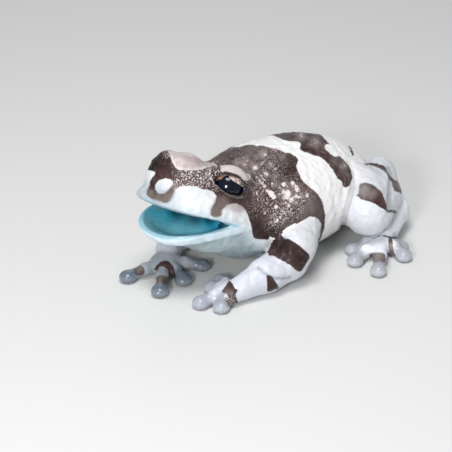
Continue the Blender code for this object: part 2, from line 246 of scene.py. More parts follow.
BAND_GAP = rounded([(324.5, 146), (330, 144.5), (335.5, 149), (339, 155.5), (334, 156), (328, 152)])
RUMP_STRIPE = rounded([
    (347, 140.5), (350, 142), (352, 149), (354, 154.5), (352, 156), (350, 150), (348, 146),
])
BELLY = 3.2
VENT_FROM, VENT_TOP = 16.0, 12.5
TRUNK_MILK = (0.90, 0.885, 0.88)


def trunk_marks(px):
    brown = together(px, SADDLE, BACK_BAND, RUMP_STRIPE)
    return np.minimum(brown, -outline(px, BAND_GAP) * PIXEL)


add_region("trunk", lambda p: distance(p, TRUNK, TRUNK_SOFT), 0, TRUNK, trunk_marks, TRUNK_MILK, "both")

# Head: a broad flat wedge, raised and turned a little to the frog's right, cast with
# the trunk. In plan it is a horseshoe whose length and half width are given at levels
# above the mouth line. A lid swells over each eye and a rolled lip runs round the edge.
HEAD_TURN = math.radians(9)
HEAD_UP = unit(vec(0.441, 0.028, 0.897))
AHEAD = unit(vec(-1, 0, 0) + HEAD_UP[0] * HEAD_UP)
ASIDE = np.cross(HEAD_UP, AHEAD)
HEAD_F = math.cos(HEAD_TURN) * AHEAD - math.sin(HEAD_TURN) * ASIDE
HEAD_L = np.cross(HEAD_UP, HEAD_F)
HEAD = np.array([HEAD_F, HEAD_L, HEAD_UP])
MOUTH_CORNER = vec(-19.05, -9.3, 14.65)
MOUTH_HALF = 10.2
HINGE = MOUTH_CORNER - MOUTH_HALF * HEAD_L
LEVELS = [-1, 0, 1.2, 2.2, 4.5, 7, 9, 11]
HEAD_LONG = [15.6, 16.0, 15.6, 15.1, 15.7, 15.7, 14.7, 12.4]
HEAD_WIDE = [10.0, 10.3, 10.2, 9.8, 8.7, 7.4, 6.2, 5.0]
BLUNT = 2.35
ROOF_AT = [-6, 2, 8, 13, 16]
ROOF = [8.0, 8.0, 8.6, 10.2, 9.9]
NAPE = -9
LID = vec(2.9, 6.1, 6.6)
LID_SIZE = vec(4.8, 3.7, 3.3)
FAR_LID_DROP = 1.0
LID_SOFT = 1.4
ROOF_BOW, ROOF_ROUND = 0.02, 2.0
UNDER, UNDER_BEHIND, UNDER_ROUND = 0.3, 4.0, 1.7
NAPE_ROUND = 2.5
LIP, LIP_UP, LIP_SOFT = 0.75, 0.3, 0.5
LIP_FADE, LIP_BACK = 0.6, 9
UPPER_LIP_LONG, UPPER_LIP_HALF = 15.9, 10.28
NOSTRIL = vec(15.0, 2.7, 8.3)
NOSTRIL_SIZE = (0.62, 0.42, 0.7)
LEAST_WIDTH, LEAST_SLOPE = 1e-12, 0.03


def in_head(f, l, u):
    # a place given forward, to the frog's left and up from between the mouth corners
    return HINGE + vec(f, l, u) @ HEAD


def arch_distance(f, l, a, b, n):
    # a horseshoe, a long and b to each side; n sets how square its front is
    fa = np.abs(f) / a
    la = np.abs(l) / b
    q = (fa ** n + la ** n + LEAST_WIDTH) ** (1 / n)
    g = np.sqrt((fa ** (n - 1) / a) ** 2 + (la ** (n - 1) / b) ** 2) * q ** (1 - n)
    return (q - 1) / np.maximum(g, LEAST_SLOPE)


def lip_bead(f, l, u, a, b):
    # the rolled lip round a horseshoe, fading out behind the mouth corners
    inset = arch_distance(f, l, a, b, BLUNT) + LIP
    return np.sqrt(inset ** 2 + u ** 2) - LIP + LIP_FADE * np.clip(-f, 0, LIP_BACK)


def head_shape(p):
    q = (p - HINGE) @ HEAD.T
    f, l, u = q.T
    d = arch_distance(f, l, np.interp(u, LEVELS, HEAD_LONG), np.interp(u, LEVELS, HEAD_WIDE), BLUNT)
    roof = np.interp(f, ROOF_AT, ROOF) + ROOF_BOW * l ** 2
    under = UNDER + UNDER_BEHIND * np.clip(f / NAPE, 0, 1)
    d = trim(d, u - roof, ROOF_ROUND)
    d = trim(d, -u - under, UNDER_ROUND)
    d = trim(d, NAPE - f, NAPE_ROUND)
    for lid in (LID, LID * FLIP - vec(0, 0, FAR_LID_DROP)):
        d = blend(d, ball_distance(q, lid, LID_SIZE, WORLD), LID_SOFT)
    return blend(d, lip_bead(f, l, u - LIP_UP, UPPER_LIP_LONG, UPPER_LIP_HALF), LIP_SOFT)


MASK = rounded([
    (158, 149), (147, 158), (145, 170), (149, 170.5), (154.5, 172), (153, 176.5), (150.5, 180.5),
    (149.5, 185), (147, 190), (146.7, 194.5), (151, 198.5), (158, 200.8), (165, 203), (169, 202),
    (171.5, 198), (173.5, 193), (176.5, 189.5), (181, 186.6), (190, 185.7), (197, 186.7), (201, 189),
    (208, 190.2), (213, 192), (216.3, 196.5), (214.5, 202.5), (211.5, 208.5), (210.5, 214), (214, 217),
    (221, 216), (222, 210.5), (225, 206.8), (229, 204.2), (234, 203.4), (239, 204.6), (243, 207.6),
    (246.5, 212), (248.2, 217), (251, 225), (252, 229.8), (254.6, 238.5), (275, 240), (300, 240),
    (300, 140), (206, 140), (203, 159), (207, 162), (213, 164.3), (209, 166.8), (202, 169.3),
    (192, 170.3), (181, 170.2), (176, 168), (173, 163), (170.5, 157), (168, 151.5), (164, 146),
])
LID_WHITE = rounded([
    (213, 160), (214, 165.2), (219.5, 166), (221.5, 168.8), (220.5, 171.2), (226, 171.0), (234, 173.2),
    (240, 176.0), (243.6, 180.3), (247.5, 180.5), (251, 178), (247, 170), (240, 163), (226, 158),
])
SNOUT_SPOT = rounded([
    (155, 187.5), (156.2, 183.2), (160, 180), (165.5, 178.8), (170, 179.3), (172.8, 181.4),
    (172.6, 184.2), (171, 187), (168.3, 190), (164, 193), (159.5, 193.3), (156, 190.8),
])
HEAD_MILK = (0.73, 0.74, 0.755)
HEAD_REACH = [ball(in_head(2, 0, 5), (17, 12, 8), HEAD)]
NECK_JOIN = 3.0


def head_marks(px):
    milky = np.maximum(outline(px, LID_WHITE), outline(px, SNOUT_SPOT))
    return np.minimum(together(px, MASK), -milky * PIXEL)


add_region("head", head_shape, NECK_JOIN, HEAD_REACH, head_marks, HEAD_MILK, "both")

# Lower jaw and throat: a shallow dish with a rolled rim, hung open from the same mouth
# corner as the head, over the soft bag of the throat. Cast with the head in one skin.
JAW_TURN = math.radians(13)
JAW_DIP = math.radians(3.7)
JAW_L = vec(-math.sin(JAW_TURN), -math.cos(JAW_TURN), 0)
JAW_F = vec(-math.cos(JAW_TURN), math.sin(JAW_TURN), 0) * math.cos(JAW_DIP) - vec(0, 0, math.sin(JAW_DIP))
JAW = np.array([JAW_F, JAW_L, np.cross(JAW_F, JAW_L)])
JAW_HINGE = MOUTH_CORNER - MOUTH_HALF * JAW_L
JAW_LEVELS = [-3, -1.5, 0, 1]
JAW_LONG = [13.9, 14.9, 15.3, 14.9]
JAW_WIDE = [8.6, 9.8, 10.1, 9.8]
JAW_BLUNT = 2.3
WAIST_AT = [0, 4, 8, 12, 15]
WAIST = [1.0, 0.93, 0.90, 0.96, 1.0]
LOWER_LIP_LONG, LOWER_LIP_HALF = 15.2, 10.0
JAW_DEEP = 2.1
JAW_BACK, JAW_BACK_ROUND = -5, 1.0
RISE, RISE_AT, RISE_WIDE = 0.5, 8, 5
RIM_ROUND, RIM_DROP = 1.2, 0.55
THROAT_SOFT, THROAT_JOIN = 3.0, 2.0
CLOSED_AT, CLOSED_ROUND = -0.1, 0.3


def in_jaw(f, l, u):
    return JAW_HINGE + vec(f, l, u) @ JAW


THROAT = [
    ball(in_jaw(6.0, 0, -1.9), (7.0, 6.2, 2.1), JAW),
    ball(in_jaw(0.6, 0, -3.6), (7.6, 8.2, 4.6), JAW),
    ball((-13.0, 0, 10.0), (6.0, 8.8, 6.9)),
]


def jaw_shape(p):
    f, l, u = ((p - JAW_HINGE) @ JAW.T).T
    rise = RISE * np.exp(-((f - RISE_AT) / RISE_WIDE) ** 2)
    across = l / np.interp(f, WAIST_AT, WAIST)
    long, wide = np.interp(u, JAW_LEVELS, JAW_LONG), np.interp(u, JAW_LEVELS, JAW_WIDE)
    d = arch_distance(f, across, long, wide, JAW_BLUNT)
    d = trim(d, u - rise, RIM_ROUND)
    d = blend(d, lip_bead(f, across, u - rise + RIM_DROP, LOWER_LIP_LONG, LOWER_LIP_HALF), LIP_SOFT)
    d = trim(d, -u - JAW_DEEP, RIM_ROUND)
    d = trim(d, JAW_BACK - f, JAW_BACK_ROUND)
    d = blend(d, distance(p, THROAT, THROAT_SOFT), THROAT_JOIN)
    over = ((p - HINGE) @ HEAD.T)[:, 2]
    return trim(d, over - CLOSED_AT, CLOSED_ROUND)


JAW_MILK = (0.66, 0.79, 0.86)
JAW_REACH = [ball(in_jaw(5, 0, -2.5), (14, 12, 8), JAW)] + THROAT
JAW_JOIN = 1.0
add_region("jaw", jaw_shape, JAW_JOIN, JAW_REACH, trunk_marks, JAW_MILK, "both")

# Mouth: a hollow in the roof and one in the dish of the jaw, with the broad low tongue
# swelling from its floor. They are cut into the same rubber and painted inside.
PALATE = [ball(in_head(4.6, 0, -0.2), (9.8, 8.1, 2.6), HEAD)]
BASIN = [ball(in_jaw(4.2, 0, 2.9), (11.6, 9.6, 5.3), JAW)]
TONGUE = [ball(in_jaw(5.2, 0, -2.05), (6.2, 4.6, 0.75), JAW)]
HOLLOW_SOFT = 1.0
MOUTH_EDGE = 0.7
ROOF_GAP, ROOF_EDGE = 0.2, 0.3
TONGUE_JOIN = 0.6


def palate_distance(p):
    return distance(p, PALATE, HOLLOW_SOFT)


def basin_distance(p):
    # the dish of the jaw, kept below the roof of the mouth
    return trim(distance(p, BASIN, HOLLOW_SOFT), (p - HINGE) @ HEAD_UP + ROOF_GAP, ROOF_EDGE)


# Eyelids: thick folds round each eye, leaving a slanting slit. The slit is drawn once,
# as it is seen on the near eye, and the far eye, set a little lower, has it mirrored.
EYE_R = 3.55
FAR_EYE_DROP = 0.6
NEAR_EYE = in_head(3.3, 6.6, 6.3)
FAR_EYE = in_head(3.3, -6.6, 6.3 - FAR_EYE_DROP)
LID_THICK, LID_JOIN = 0.45, 0.5
LID_BEAD, BEAD_JOIN, BEAD_BACK = 0.36, 0.35, -0.5
SLIT_DEEP, SLIT_ROUND = 1.0, 0.15
NOSTRIL_ROUND = 0.3
AWAY = 9.0
SLIT = rounded([
    (214.4, 179.5), (216.5, 176.5), (221.4, 174.6), (228.7, 175.6), (234.4, 177.1), (239.4, 179.4),
    (242.5, 184), (243.6, 188), (242.6, 192.6), (240.2, 195), (234.4, 194.8), (228.7, 193.2),
    (223, 190), (217.6, 185.6), (214.9, 182.5),
])


def near_side(p):
    # points of the head's far half are moved to the matching point of the near half
    q = (p - HINGE) @ HEAD.T
    q[:, 2] += np.where(q[:, 1] < 0, FAR_EYE_DROP, 0.0)
    q[:, 1] = np.abs(q[:, 1])
    return HINGE + q @ HEAD


def cut_head(p, d):
    # adds the eyelids and tongue to the distance d, and cuts the slits, mouth and nostrils
    q = near_side(p)
    out = np.sqrt(((q - NEAR_EYE) ** 2).sum(1)) - EYE_R
    front = (q - NEAR_EYE) @ BACK
    hole = outline(picture(q), SLIT) * PIXEL
    d = blend(d, out - LID_THICK, LID_JOIN)
    bead = np.sqrt(hole ** 2 + (out - LID_THICK) ** 2) - LID_BEAD
    d = blend(d, np.where(front > BEAD_BACK, bead, AWAY), BEAD_JOIN)
    slit = np.maximum(np.maximum(-hole, -out - SLIT_DEEP), -front)
    d = trim(d, -slit, SLIT_ROUND)
    d = trim(d, -palate_distance(p), MOUTH_EDGE)
    d = trim(d, -basin_distance(p), MOUTH_EDGE)
    for place in (NOSTRIL, NOSTRIL * FLIP):
        d = trim(d, -ball_distance(p, in_head(*place), np.array(NOSTRIL_SIZE), HEAD), NOSTRIL_ROUND)
    return blend(d, distance(p, TONGUE, HOLLOW_SOFT), TONGUE_JOIN)


# Arms and hands: stout bowed forelimbs that carry the chest, each a line of points from
# shoulder to wrist with its thickness. The hands have four toes with knuckles and round
# sticky pads flat on the floor. All are cast with the trunk.
def limb(points, radii):
    pieces = []
    for i in range(len(points) - 1):
        ends = np.array(points[i], float), np.array(points[i + 1], float)
        pieces.append(("cone", *ends, radii[i], radii[i + 1]))
    return pieces


PAD_HIGH = 1.2
TOE_LEVEL = 1.05
KNUCKLE_SHARES = 0.45, 0.55
NECK_SHARES = 0.2, 0.8
NECK_LIFT = 0.4
TOE_TAPER = [1.35, 1.04, 0.80, 0.92]


def between(start, end, shares):
    return shares[0] * start + shares[1] * end


def digits(root, lift, tips, thick, pad):
    # toes from one root, each with a knuckle, a narrow neck and a pad at its tip
    pieces = []
    for x, y in tips:
        end = vec(x, y, TOE_LEVEL)
        start = np.array(root, float)
        knuckle = between(start, end, KNUCKLE_SHARES) + vec(0, 0, lift)
        neck = between(start, end, NECK_SHARES) + vec(0, 0, NECK_LIFT * lift)
        pieces += limb([start, knuckle, neck, end], [thick * share for share in TOE_TAPER])
        pieces.append(ball(end, (pad, pad, PAD_HIGH)))
    return pieces


LEFT_UPPER_ARM = limb([(-4.8, -11.6, 8.9), (-8.1, -12.7, 7.4), (-9.9, -12.8, 5.4)], [3.5, 3.75, 3.7])
LEFT_FOREARM = limb([(-10.2, -12.6, 4.6), (-15.5, -11.6, 3.6), (-20.6, -10.4, 2.6)], [3.7, 3.2, 2.5])
RIGHT_UPPER_ARM = limb([(-4.8, 11.6, 8.9), (-8.2, 13.2, 7.3), (-10.3, 14.3, 5.4)], [3.5, 3.75, 3.7])
RIGHT_FOREARM = limb([(-10.8, 14.2, 4.6), (-15.6, 12.4, 3.6), (-19.6, 10.2, 2.7)], [3.6, 3.1, 2.5])
LEFT_TIPS = [(-26.8, -10.5), (-28.3, -6.6), (-22.6, -4.2), (-19.3, -3.6)]
RIGHT_TIPS = [(-30.2, 10.8), (-30.1, 2.3), (-23.9, 2.0), (-17.2, 3.4)]
LEFT_HAND = [ball((-22.9, -9.0, 1.9), (3.4, 3.1, 1.9))]
LEFT_HAND += digits((-22.6, -9.0, 1.8), 0.25, LEFT_TIPS, 1.25, 1.65)
RIGHT_HAND = [ball((-22.4, 8.2, 2.0), (3.3, 3.1, 1.9))]
RIGHT_HAND += digits((-22.6, 8.0, 1.9), 0.35, RIGHT_TIPS, 1.12, 1.75)
ARM_BAND = rounded([
    (268.5, 238.5), (272, 235.5), (279.8, 231.8), (282, 235.5), (284.5, 238.5), (287, 238), (296, 243),
    (303, 248.5), (310, 256), (308, 261), (304, 267), (299.5, 272.5), (291, 266), (281, 260),
    (270.5, 254.5), (267, 252), (266, 242),
])
ARM_SPOT = rounded([
    (266.5, 276), (270, 275), (274, 278.5), (277, 284), (279, 288), (274, 290), (268, 292), (267, 285),
])
HAND_PATCH = rounded([
    (232, 277.5), (235, 283), (237.5, 290), (236, 294), (237, 299), (238, 303), (233, 308), (227, 305),
    (225, 298), (227, 294), (221.5, 292), (225, 287), (228, 282),
])
# The dark patch over the far hand's knuckles is partly brown marking and partly painted shadow.
FAR_KNUCKLES_AND_SHADOW = rounded([
    (154, 270), (157, 265), (161, 261.5), (168, 261), (173, 266), (175.5, 274), (174, 281), (168.5, 282),
    (169, 272), (165, 267.5), (160, 266.5), (157.5, 270),
])
FAR_TOE = rounded([(156.5, 277), (162, 275), (167.5, 277), (168, 283), (160, 284), (156, 282)])
FAR_OUTER = rounded([(134, 268), (139, 265.5), (144.5, 268.5), (143.5, 274.5), (137, 275.5), (134, 272)])


def add_limb(name, pieces, joins, paint, views, mirrored=False):
    # joins says how gently its own pieces join, and how gently it joins the body; paint
    # is its marks and pale colour; mirrored puts it on the frog's other side
    inner, outer = joins
    turn = FLIP if mirrored else vec(1, 1, 1)

    def rule(p):
        return distance(p * turn, pieces, inner)

    add_region(name, rule, outer, pieces, *paint, views, mirrored)


SHOULDER, ELBOW, WRIST = (1.5, 1.6), (1.5, 0.9), (0.6, 0.8)
arm_marks = marked(ARM_BAND, ARM_SPOT)
UPPER_ARM_PAINT = arm_marks, (0.64, 0.645, 0.675)
FOREARM_PAINT = arm_marks, (0.62, 0.635, 0.71)
HAND_PAINT = marked(HAND_PATCH), (0.60, 0.625, 0.69)
# The far hand's pale colour is painted darker grey as painted shadow.
SHADOWED_FAR_HAND_PAINT = marked(FAR_KNUCKLES_AND_SHADOW, FAR_TOE, FAR_OUTER), (0.35, 0.385, 0.425)
add_limb("left_upper_arm", LEFT_UPPER_ARM, SHOULDER, UPPER_ARM_PAINT, "here")
add_limb("right_upper_arm", RIGHT_UPPER_ARM, SHOULDER, UPPER_ARM_PAINT, "mirrored")
add_limb("left_forearm", LEFT_FOREARM, ELBOW, FOREARM_PAINT, "here")
add_limb("right_forearm", RIGHT_FOREARM, ELBOW, FOREARM_PAINT, "mirrored")
add_limb("left_hand", LEFT_HAND, WRIST, HAND_PAINT, "here")
add_limb("right_hand", RIGHT_HAND, WRIST, SHADOWED_FAR_HAND_PAINT, "here")

# Hind legs and feet: thigh, shank and foot folded flat against the body, the right leg
# a mirror of the left. Five toes with pads spread from each foot. Cast with the trunk.
THIGH = limb([(16.4, -6.4, 9.0), (14.2, -10.5, 9.3), (10.6, -15.2, 9.2)], [5.8, 5.7, 4.9])
SHANK = limb([(10.4, -16.2, 8.7), (18, -12.5, 8.6), (26.8, -6.2, 8.4)], [4.4, 4.5, 3.5])
FOOT_TIPS = [(4.3, -17.8), (4.1, -23.7), (12.4, -23.7), (7.9, -14.4), (14.8, -21.2)]
FOOT = limb([(27.4, -7.0, 6.0), (21.5, -14.0, 4.4), (14.0, -17.6, 2.8)], [3.0, 3.2, 2.2])
FOOT += digits((12.8, -17.8, 2.2), 0.3, FOOT_TIPS, 1.25, 1.65)
LEG_BAND = rounded([
    (360.5, 183.5), (366, 182.5), (371, 184), (377, 187.5), (382, 193.5), (385, 199.5), (388, 206),
    (390.5, 209.5), (395, 210), (399, 213), (402.5, 218.5), (402, 221), (398.5, 216.5), (394, 213.5),
    (390, 212.2), (386, 211), (380, 207), (373, 203), (366, 200.5), (361, 199.5), (359, 197),
    (356, 196.3), (358.5, 193), (359, 188),
])
LEG_BACK_BAND = rounded([
    (364, 164.5), (368, 163), (376, 163.3), (383, 165.5), (388, 169), (392, 174.5), (395, 180), (399, 181),
    (403, 186), (404.5, 193), (404, 197), (400, 193), (395, 190.8), (393.5, 187), (393, 182),
    (391, 177), (387, 173), (381, 169), (374, 166), (368, 165.2),
])
TOE_BAND = rounded([
    (370, 254), (377, 252.5), (384, 253.5), (386, 257), (385, 262.5), (380, 261.5), (374, 262.5),
    (370, 261),
])
TOE_STRIPE = rounded([
    (388.5, 239), (392.5, 239), (393, 246), (394.5, 253), (396, 257.5), (391, 255), (388.5, 248),
])
ANKLE_LINE = rounded([
    (373, 238), (381, 234.6), (391, 236.5), (402, 237), (402, 239), (391, 238.5), (381, 236.2),
    (373, 239.5),
])
HIP, KNEE, ANKLE = (1.5, 1.8), (1.5, 0.7), (0.6, 0.6)
leg_marks = marked(LEG_BAND, LEG_BACK_BAND, RUMP_STRIPE)
THIGH_PAINT = leg_marks, (0.70, 0.705, 0.74)
SHANK_PAINT = leg_marks, (0.66, 0.69, 0.74)
FOOT_PAINT = marked(TOE_BAND, TOE_STRIPE, ANKLE_LINE), (0.80, 0.82, 0.88)
for name, pieces, joins, paint in (
    ("thigh", THIGH, HIP, THIGH_PAINT),
    ("shank", SHANK, KNEE, SHANK_PAINT),
    ("foot", FOOT, ANKLE, FOOT_PAINT),
):
    add_limb("left_" + name, pieces, joins, paint, "here")
    add_limb("right_" + name, pieces, joins, paint, "mirrored", True)

# Skin: one closed rubber skin wrapped round the whole body on a fine grid, then drawn
# tight onto it. Folds are pressed in and grains raised as real shape. The chocolate
# markings are painted on milky rubber, and clear varnish keeps it looking moist.
GRID = 0.43
LOW = vec(-36, -28, -0.9)
HIGH = vec(34, 28, 29)
# Where no region is near, how rounds are kept from vanishing, where the head is cut, and
# how coarse the blocks and how long the steps are that the surface is sought with.
FAR_AWAY = 20.0
LEAST_SOFT = 0.01
MOUTH_BACK, MOUTH_LOW = -14, 4
FLOOR_ROUND = 0.1
BLOCK, BLOCK_REACH = 4, 1.9
SLOPE_STEP, SLOPE_LEAST = 0.02, 0.05


def within(p, region):
    # a region's distance, worked out only where it can matter
    close = ((p > region["low"]) & (p < region["high"])).all(1)
    d = np.full(len(p), FAR_AWAY)
    if close.any():
        d[close] = region["rule"](p[close])
    return d


def frog_distance(p):
    d = np.full(len(p), FAR_AWAY)
    for region in regions:
        d = blend(d, within(p, region), max(region["soft"], LEAST_SOFT))
    mouthy = ((p - HINGE) @ HEAD_F > MOUTH_BACK) & (p[:, 2] > MOUTH_LOW)
    if mouthy.any():
        d[mouthy] = cut_head(p[mouthy], d[mouthy])
    return trim(d, -p[:, 2], FLOOR_ROUND)


def grid_values(rule, low, counts, step):
    # the rule is worked out only in the coarse blocks that the surface may cross
    wide = [math.ceil(n / BLOCK) for n in counts]
    middles = [low[i] + step * (BLOCK * np.arange(wide[i]) + (BLOCK - 1) / 2) for i in range(3)]
    coarse = np.stack(np.meshgrid(*middles, indexing="ij"), -1).reshape(-1, 3)
    values = rule(coarse).reshape(wide)
    for axis in range(3):
        values = np.repeat(values, BLOCK, axis)
    values = values[: counts[0], : counts[1], : counts[2]].copy()
    index = np.argwhere(np.abs(values) < step * BLOCK * BLOCK_REACH)
    values[tuple(index.T)] = rule(low + step * index)
    return values


def wrap(rule, low, high, step):
    # a net of squares, one corner in each grid cell that the surface passes through
    counts = [math.ceil((high[i] - low[i]) / step) for i in range(3)]
    inside = grid_values(rule, low, counts, step) < 0
    quads = []
    for axis in range(3):
        first = inside.take(range(counts[axis] - 1), axis)
        second = inside.take(range(1, counts[axis]), axis)
        a, b = [i for i in range(3) if i != axis]
        for leaving in (True, False):
            at = np.argwhere((first != second) & (first == leaving))
            at = at[(at[:, a] > 0) & (at[:, b] > 0)]
            ring = []
            for da, db in ((0, 0), (1, 0), (1, 1), (0, 1)):
                cell = at.copy()
                cell[:, a] -= da
                cell[:, b] -= db
                ring.append((cell[:, 0] * counts[1] + cell[:, 1]) * counts[2] + cell[:, 2])
            ring = np.stack(ring, 1)
            quads.append(ring if leaving == (axis != 1) else ring[:, ::-1])
    cells, quads = np.unique(np.concatenate(quads), return_inverse=True)
    where = np.stack(np.unravel_index(cells, counts), 1)
    mesh = bpy.data.meshes.new("skin")
    mesh.from_pydata((low + step * (where + 0.5)).tolist(), [], quads.reshape(-1, 4).tolist())
    return mesh


def points_of(mesh, kind="co"):
    # the mesh's points, or their normals, as rows of three
    values = np.empty(len(mesh.vertices) * 3)
    mesh.vertices.foreach_get(kind, values)
    return values.reshape(-1, 3)


def move_points(mesh, p):
    mesh.vertices.foreach_set("co", p.ravel())
    mesh.update()


def settle(mesh, rule, rounds, limit, relax):
    # evens the mesh and moves its points onto the surface where the rule is nought
    p = points_of(mesh)
    edges = np.empty(len(mesh.edges) * 2, dtype=np.int64)
    mesh.edges.foreach_get("vertices", edges)
    edges = edges.reshape(-1, 2)
    count = np.bincount(edges.ravel(), minlength=len(p))[:, None]
    for turn in range(rounds):
        if turn < rounds - 2:
            total = np.zeros_like(p)
            for axis in range(3):
                total[:, axis] += np.bincount(edges[:, 0], p[edges[:, 1], axis], len(p))
                total[:, axis] += np.bincount(edges[:, 1], p[edges[:, 0], axis], len(p))
            p = p + relax * (total / count - p)
        d = rule(p)
        slope = np.stack([(rule(p + SLOPE_STEP * WORLD[i]) - d) / SLOPE_STEP for i in range(3)], 1)
        move = -(d / ((slope ** 2).sum(1) + SLOPE_LEAST))[:, None] * slope
        far = np.sqrt((move ** 2).sum(1))[:, None] + TINY
        p = p + move * np.minimum(1.0, limit / far)
    move_points(mesh, p)


# The face gets a finer net than the rest: the eyelids, the lips and the mouth. The net
# settles twice: the rounds, the longest move in one and how far the points even out.
FACE_BACK = -1.5
FACE_LOW = 6.5
FIRST_SETTLING = (5, 0.3, 0.5)
FINE_SETTLING = (6, 0.25, 0.35)
PAINT_BLEND = 0.5
skin_mesh = wrap(frog_distance, LOW, HIGH, GRID)
settle(skin_mesh, frog_distance, *FIRST_SETTLING)
q = (points_of(skin_mesh) - HINGE) @ HEAD.T
face = (q[:, 0] > FACE_BACK) & (points_of(skin_mesh)[:, 2] > FACE_LOW)
bm = bmesh.new()
bm.from_mesh(skin_mesh)
face_edges = [edge for edge in bm.edges if face[edge.verts[0].index] and face[edge.verts[1].index]]
bmesh.ops.subdivide_edges(bm, edges=face_edges, cuts=1, use_grid_fill=True)
bmesh.ops.triangulate(bm, faces=bm.faces)
bm.to_mesh(skin_mesh)
bm.free()
settle(skin_mesh, frog_distance, *FINE_SETTLING)

p = points_of(skin_mesh)
normals = points_of(skin_mesh, "normal")
toward = EYEPOINT - p
facing = (normals * toward).sum(1) / np.linalg.norm(toward, axis=1)
parts = np.stack([within(p, region) for region in regions], 1)
names = [region["name"] for region in regions]
own = parts.argmin(1)
on_head, on_jaw = own == names.index("head"), own == names.index("jaw")
weights = np.exp(-np.maximum(parts - parts.min(1)[:, None], 0) / PAINT_BLEND)
weights /= weights.sum(1)[:, None]
trunk_weight, head_weight, jaw_weight = [weights[:, names.index(name)] for name in ("trunk", "head", "jaw")]
q = (p - HINGE) @ HEAD.T
here = picture(p)
mirrored = picture(p * FLIP)
mirrored[on_head] = picture(HINGE + (q * FLIP) @ HEAD)[on_head]

# Warts and grains, each a place across and down in the picture, a size and a strength:
# pale warts in the dark skin, places where the brown is thin and grey, painted glints of
# light with dark specks between them, places that are nearly black and places where the
# edge of the brown is blurred.
WARTS = [
    (271, 193.5, 3.4, 1.0), (273.5, 196.5, 3.0, 1.0), (267.5, 190.5, 1.8, 0.9), (276.5, 207, 2.6, 0.85),
    (283.5, 184.5, 3.0, 0.7), (280, 187, 1.8, 0.5), (293, 183, 2.6, 0.8), (292, 187, 1.8, 0.5),
    (297.5, 190, 3.0, 0.8), (284, 192, 2.6, 0.65), (287.5, 197, 3.2, 0.75), (286, 203, 2.4, 0.6),
    (296, 196.5, 2.6, 0.7), (290, 201, 2.2, 0.55), (296.5, 202.5, 2.0, 0.6), (307.5, 195.5, 2.8, 0.8),
    (303, 201, 2.2, 0.6), (304, 206.5, 1.8, 0.45), (279, 201.5, 2.0, 0.4), (265, 154, 3.0, 0.45),
    (259, 155.5, 2.2, 0.35), (284, 156, 2.4, 0.3), (262, 163.5, 3.4, 0.4), (271, 164, 2.6, 0.35),
    (244, 165, 4.2, 0.4), (239, 161, 3.0, 0.25), (255, 168, 3.4, 0.45), (249, 170, 2.4, 0.3),
    (275.5, 168, 3.0, 0.4), (266, 174, 3.2, 0.45), (260, 176, 2.6, 0.35), (272, 184, 3.0, 0.45),
    (282, 175, 2.4, 0.35), (276, 178, 2.2, 0.3), (264.5, 213, 2.2, 0.6), (260, 207, 1.8, 0.35),
    (285, 212.5, 2.6, 0.5), (277, 220, 2.2, 0.4), (272, 216, 1.8, 0.35), (282, 222, 3.0, 0.35),
    (290, 212, 2.0, 0.35), (262.5, 200, 1.6, 0.4), (301, 135, 3.2, 0.5), (316, 142, 4.5, 0.4),
    (308, 139, 2.2, 0.3), (344.5, 166, 4.0, 0.3), (347, 178, 2.6, 0.3), (309, 186, 1.6, 0.3),
    (264.8, 186.5, 1.9, 0.85), (262.6, 183, 1.7, 0.7), (288, 193, 4.2, 0.7), (292.5, 198.5, 4.0, 0.65),
    (284.5, 197.5, 3.4, 0.6), (296, 186, 2.8, 0.6), (289, 206, 2.6, 0.55), (299, 197, 3.0, 0.6),
    (280, 194, 2.4, 0.5),
]
# The wide thin places on the stripe between snout and eye, at 195 and 205 across, are partly painted sheen
# under the glints.
THIN = [
    (158, 199, 7, 0.25), (169, 197, 7, 0.35), (150, 194, 5, 0.35), (177, 186, 6, 0.55), (217, 213, 7, 0.35),
    (222, 203, 8, 0.3), (364, 190, 8, 0.75), (372, 193, 6, 0.4), (398, 186, 8, 0.4), (336, 160, 6, 0.3),
    (345, 172, 6, 0.25), (255, 172, 22, 0.12), (228, 294, 6, 0.3), (230, 303, 5, 0.35), (378, 258, 9, 0.55),
    (392, 248, 8, 0.6), (162, 279, 7, 0.35), (139, 270, 7, 0.35), (285, 216, 10, 0.3), (195, 177, 14, 0.35),
    (308, 205, 15, 0.35), (205, 176, 10, 0.3), (238, 163, 5, 0.6), (254, 167.5, 5, 0.75),
    (263, 153.5, 5, 0.75), (270, 165, 4, 0.6), (246, 160, 4, 0.45), (283, 157, 4, 0.45), (266, 174, 4, 0.6),
    (249, 171, 4, 0.5), (275, 176, 4, 0.55), (260, 182, 4, 0.45), (276, 184, 4, 0.55), (289, 195, 13, 0.45),
    (301, 136, 5, 0.6), (315, 142, 6, 0.55), (344, 166, 6, 0.5), (256, 157, 3, 0.45), (244, 166, 4, 0.6),
]
# Painted glints: places where pale specks of light are painted on the wet skin, strongest on the stripe
# between snout and eye.
GLINT_PLACES = [
    (193, 177, 15, 1.0), (208, 178, 14, 0.9), (214, 170, 7, 0.8), (167, 155, 4, 0.7), (200, 186, 9, 0.8),
    (180, 182, 7, 0.9), (258, 186, 14, 0.4), (268, 200, 14, 0.5), (282, 214, 14, 0.8), (275, 224, 10, 0.7),
    (294, 208, 12, 0.7), (255, 208, 10, 0.35), (229, 300, 8, 0.6), (300, 198, 12, 0.5),
    (270, 170, 20, 0.35), (290, 190, 16, 0.45), (240, 160, 16, 0.2),
]
INK = [
    (153, 163, 9, 1.0), (149, 168, 7, 1.0), (158, 156, 7, 0.7), (151, 184, 5, 0.4), (176, 172, 8, 0.3),
    (215, 176, 6, 0.6), (222, 189, 6, 0.5), (235, 197, 7, 0.5), (246, 188, 6, 0.6), (250, 182, 6, 0.4),
    (290, 248, 18, 0.7), (278, 242, 10, 0.6), (297, 260, 10, 0.5), (262, 222, 12, 0.3),
]
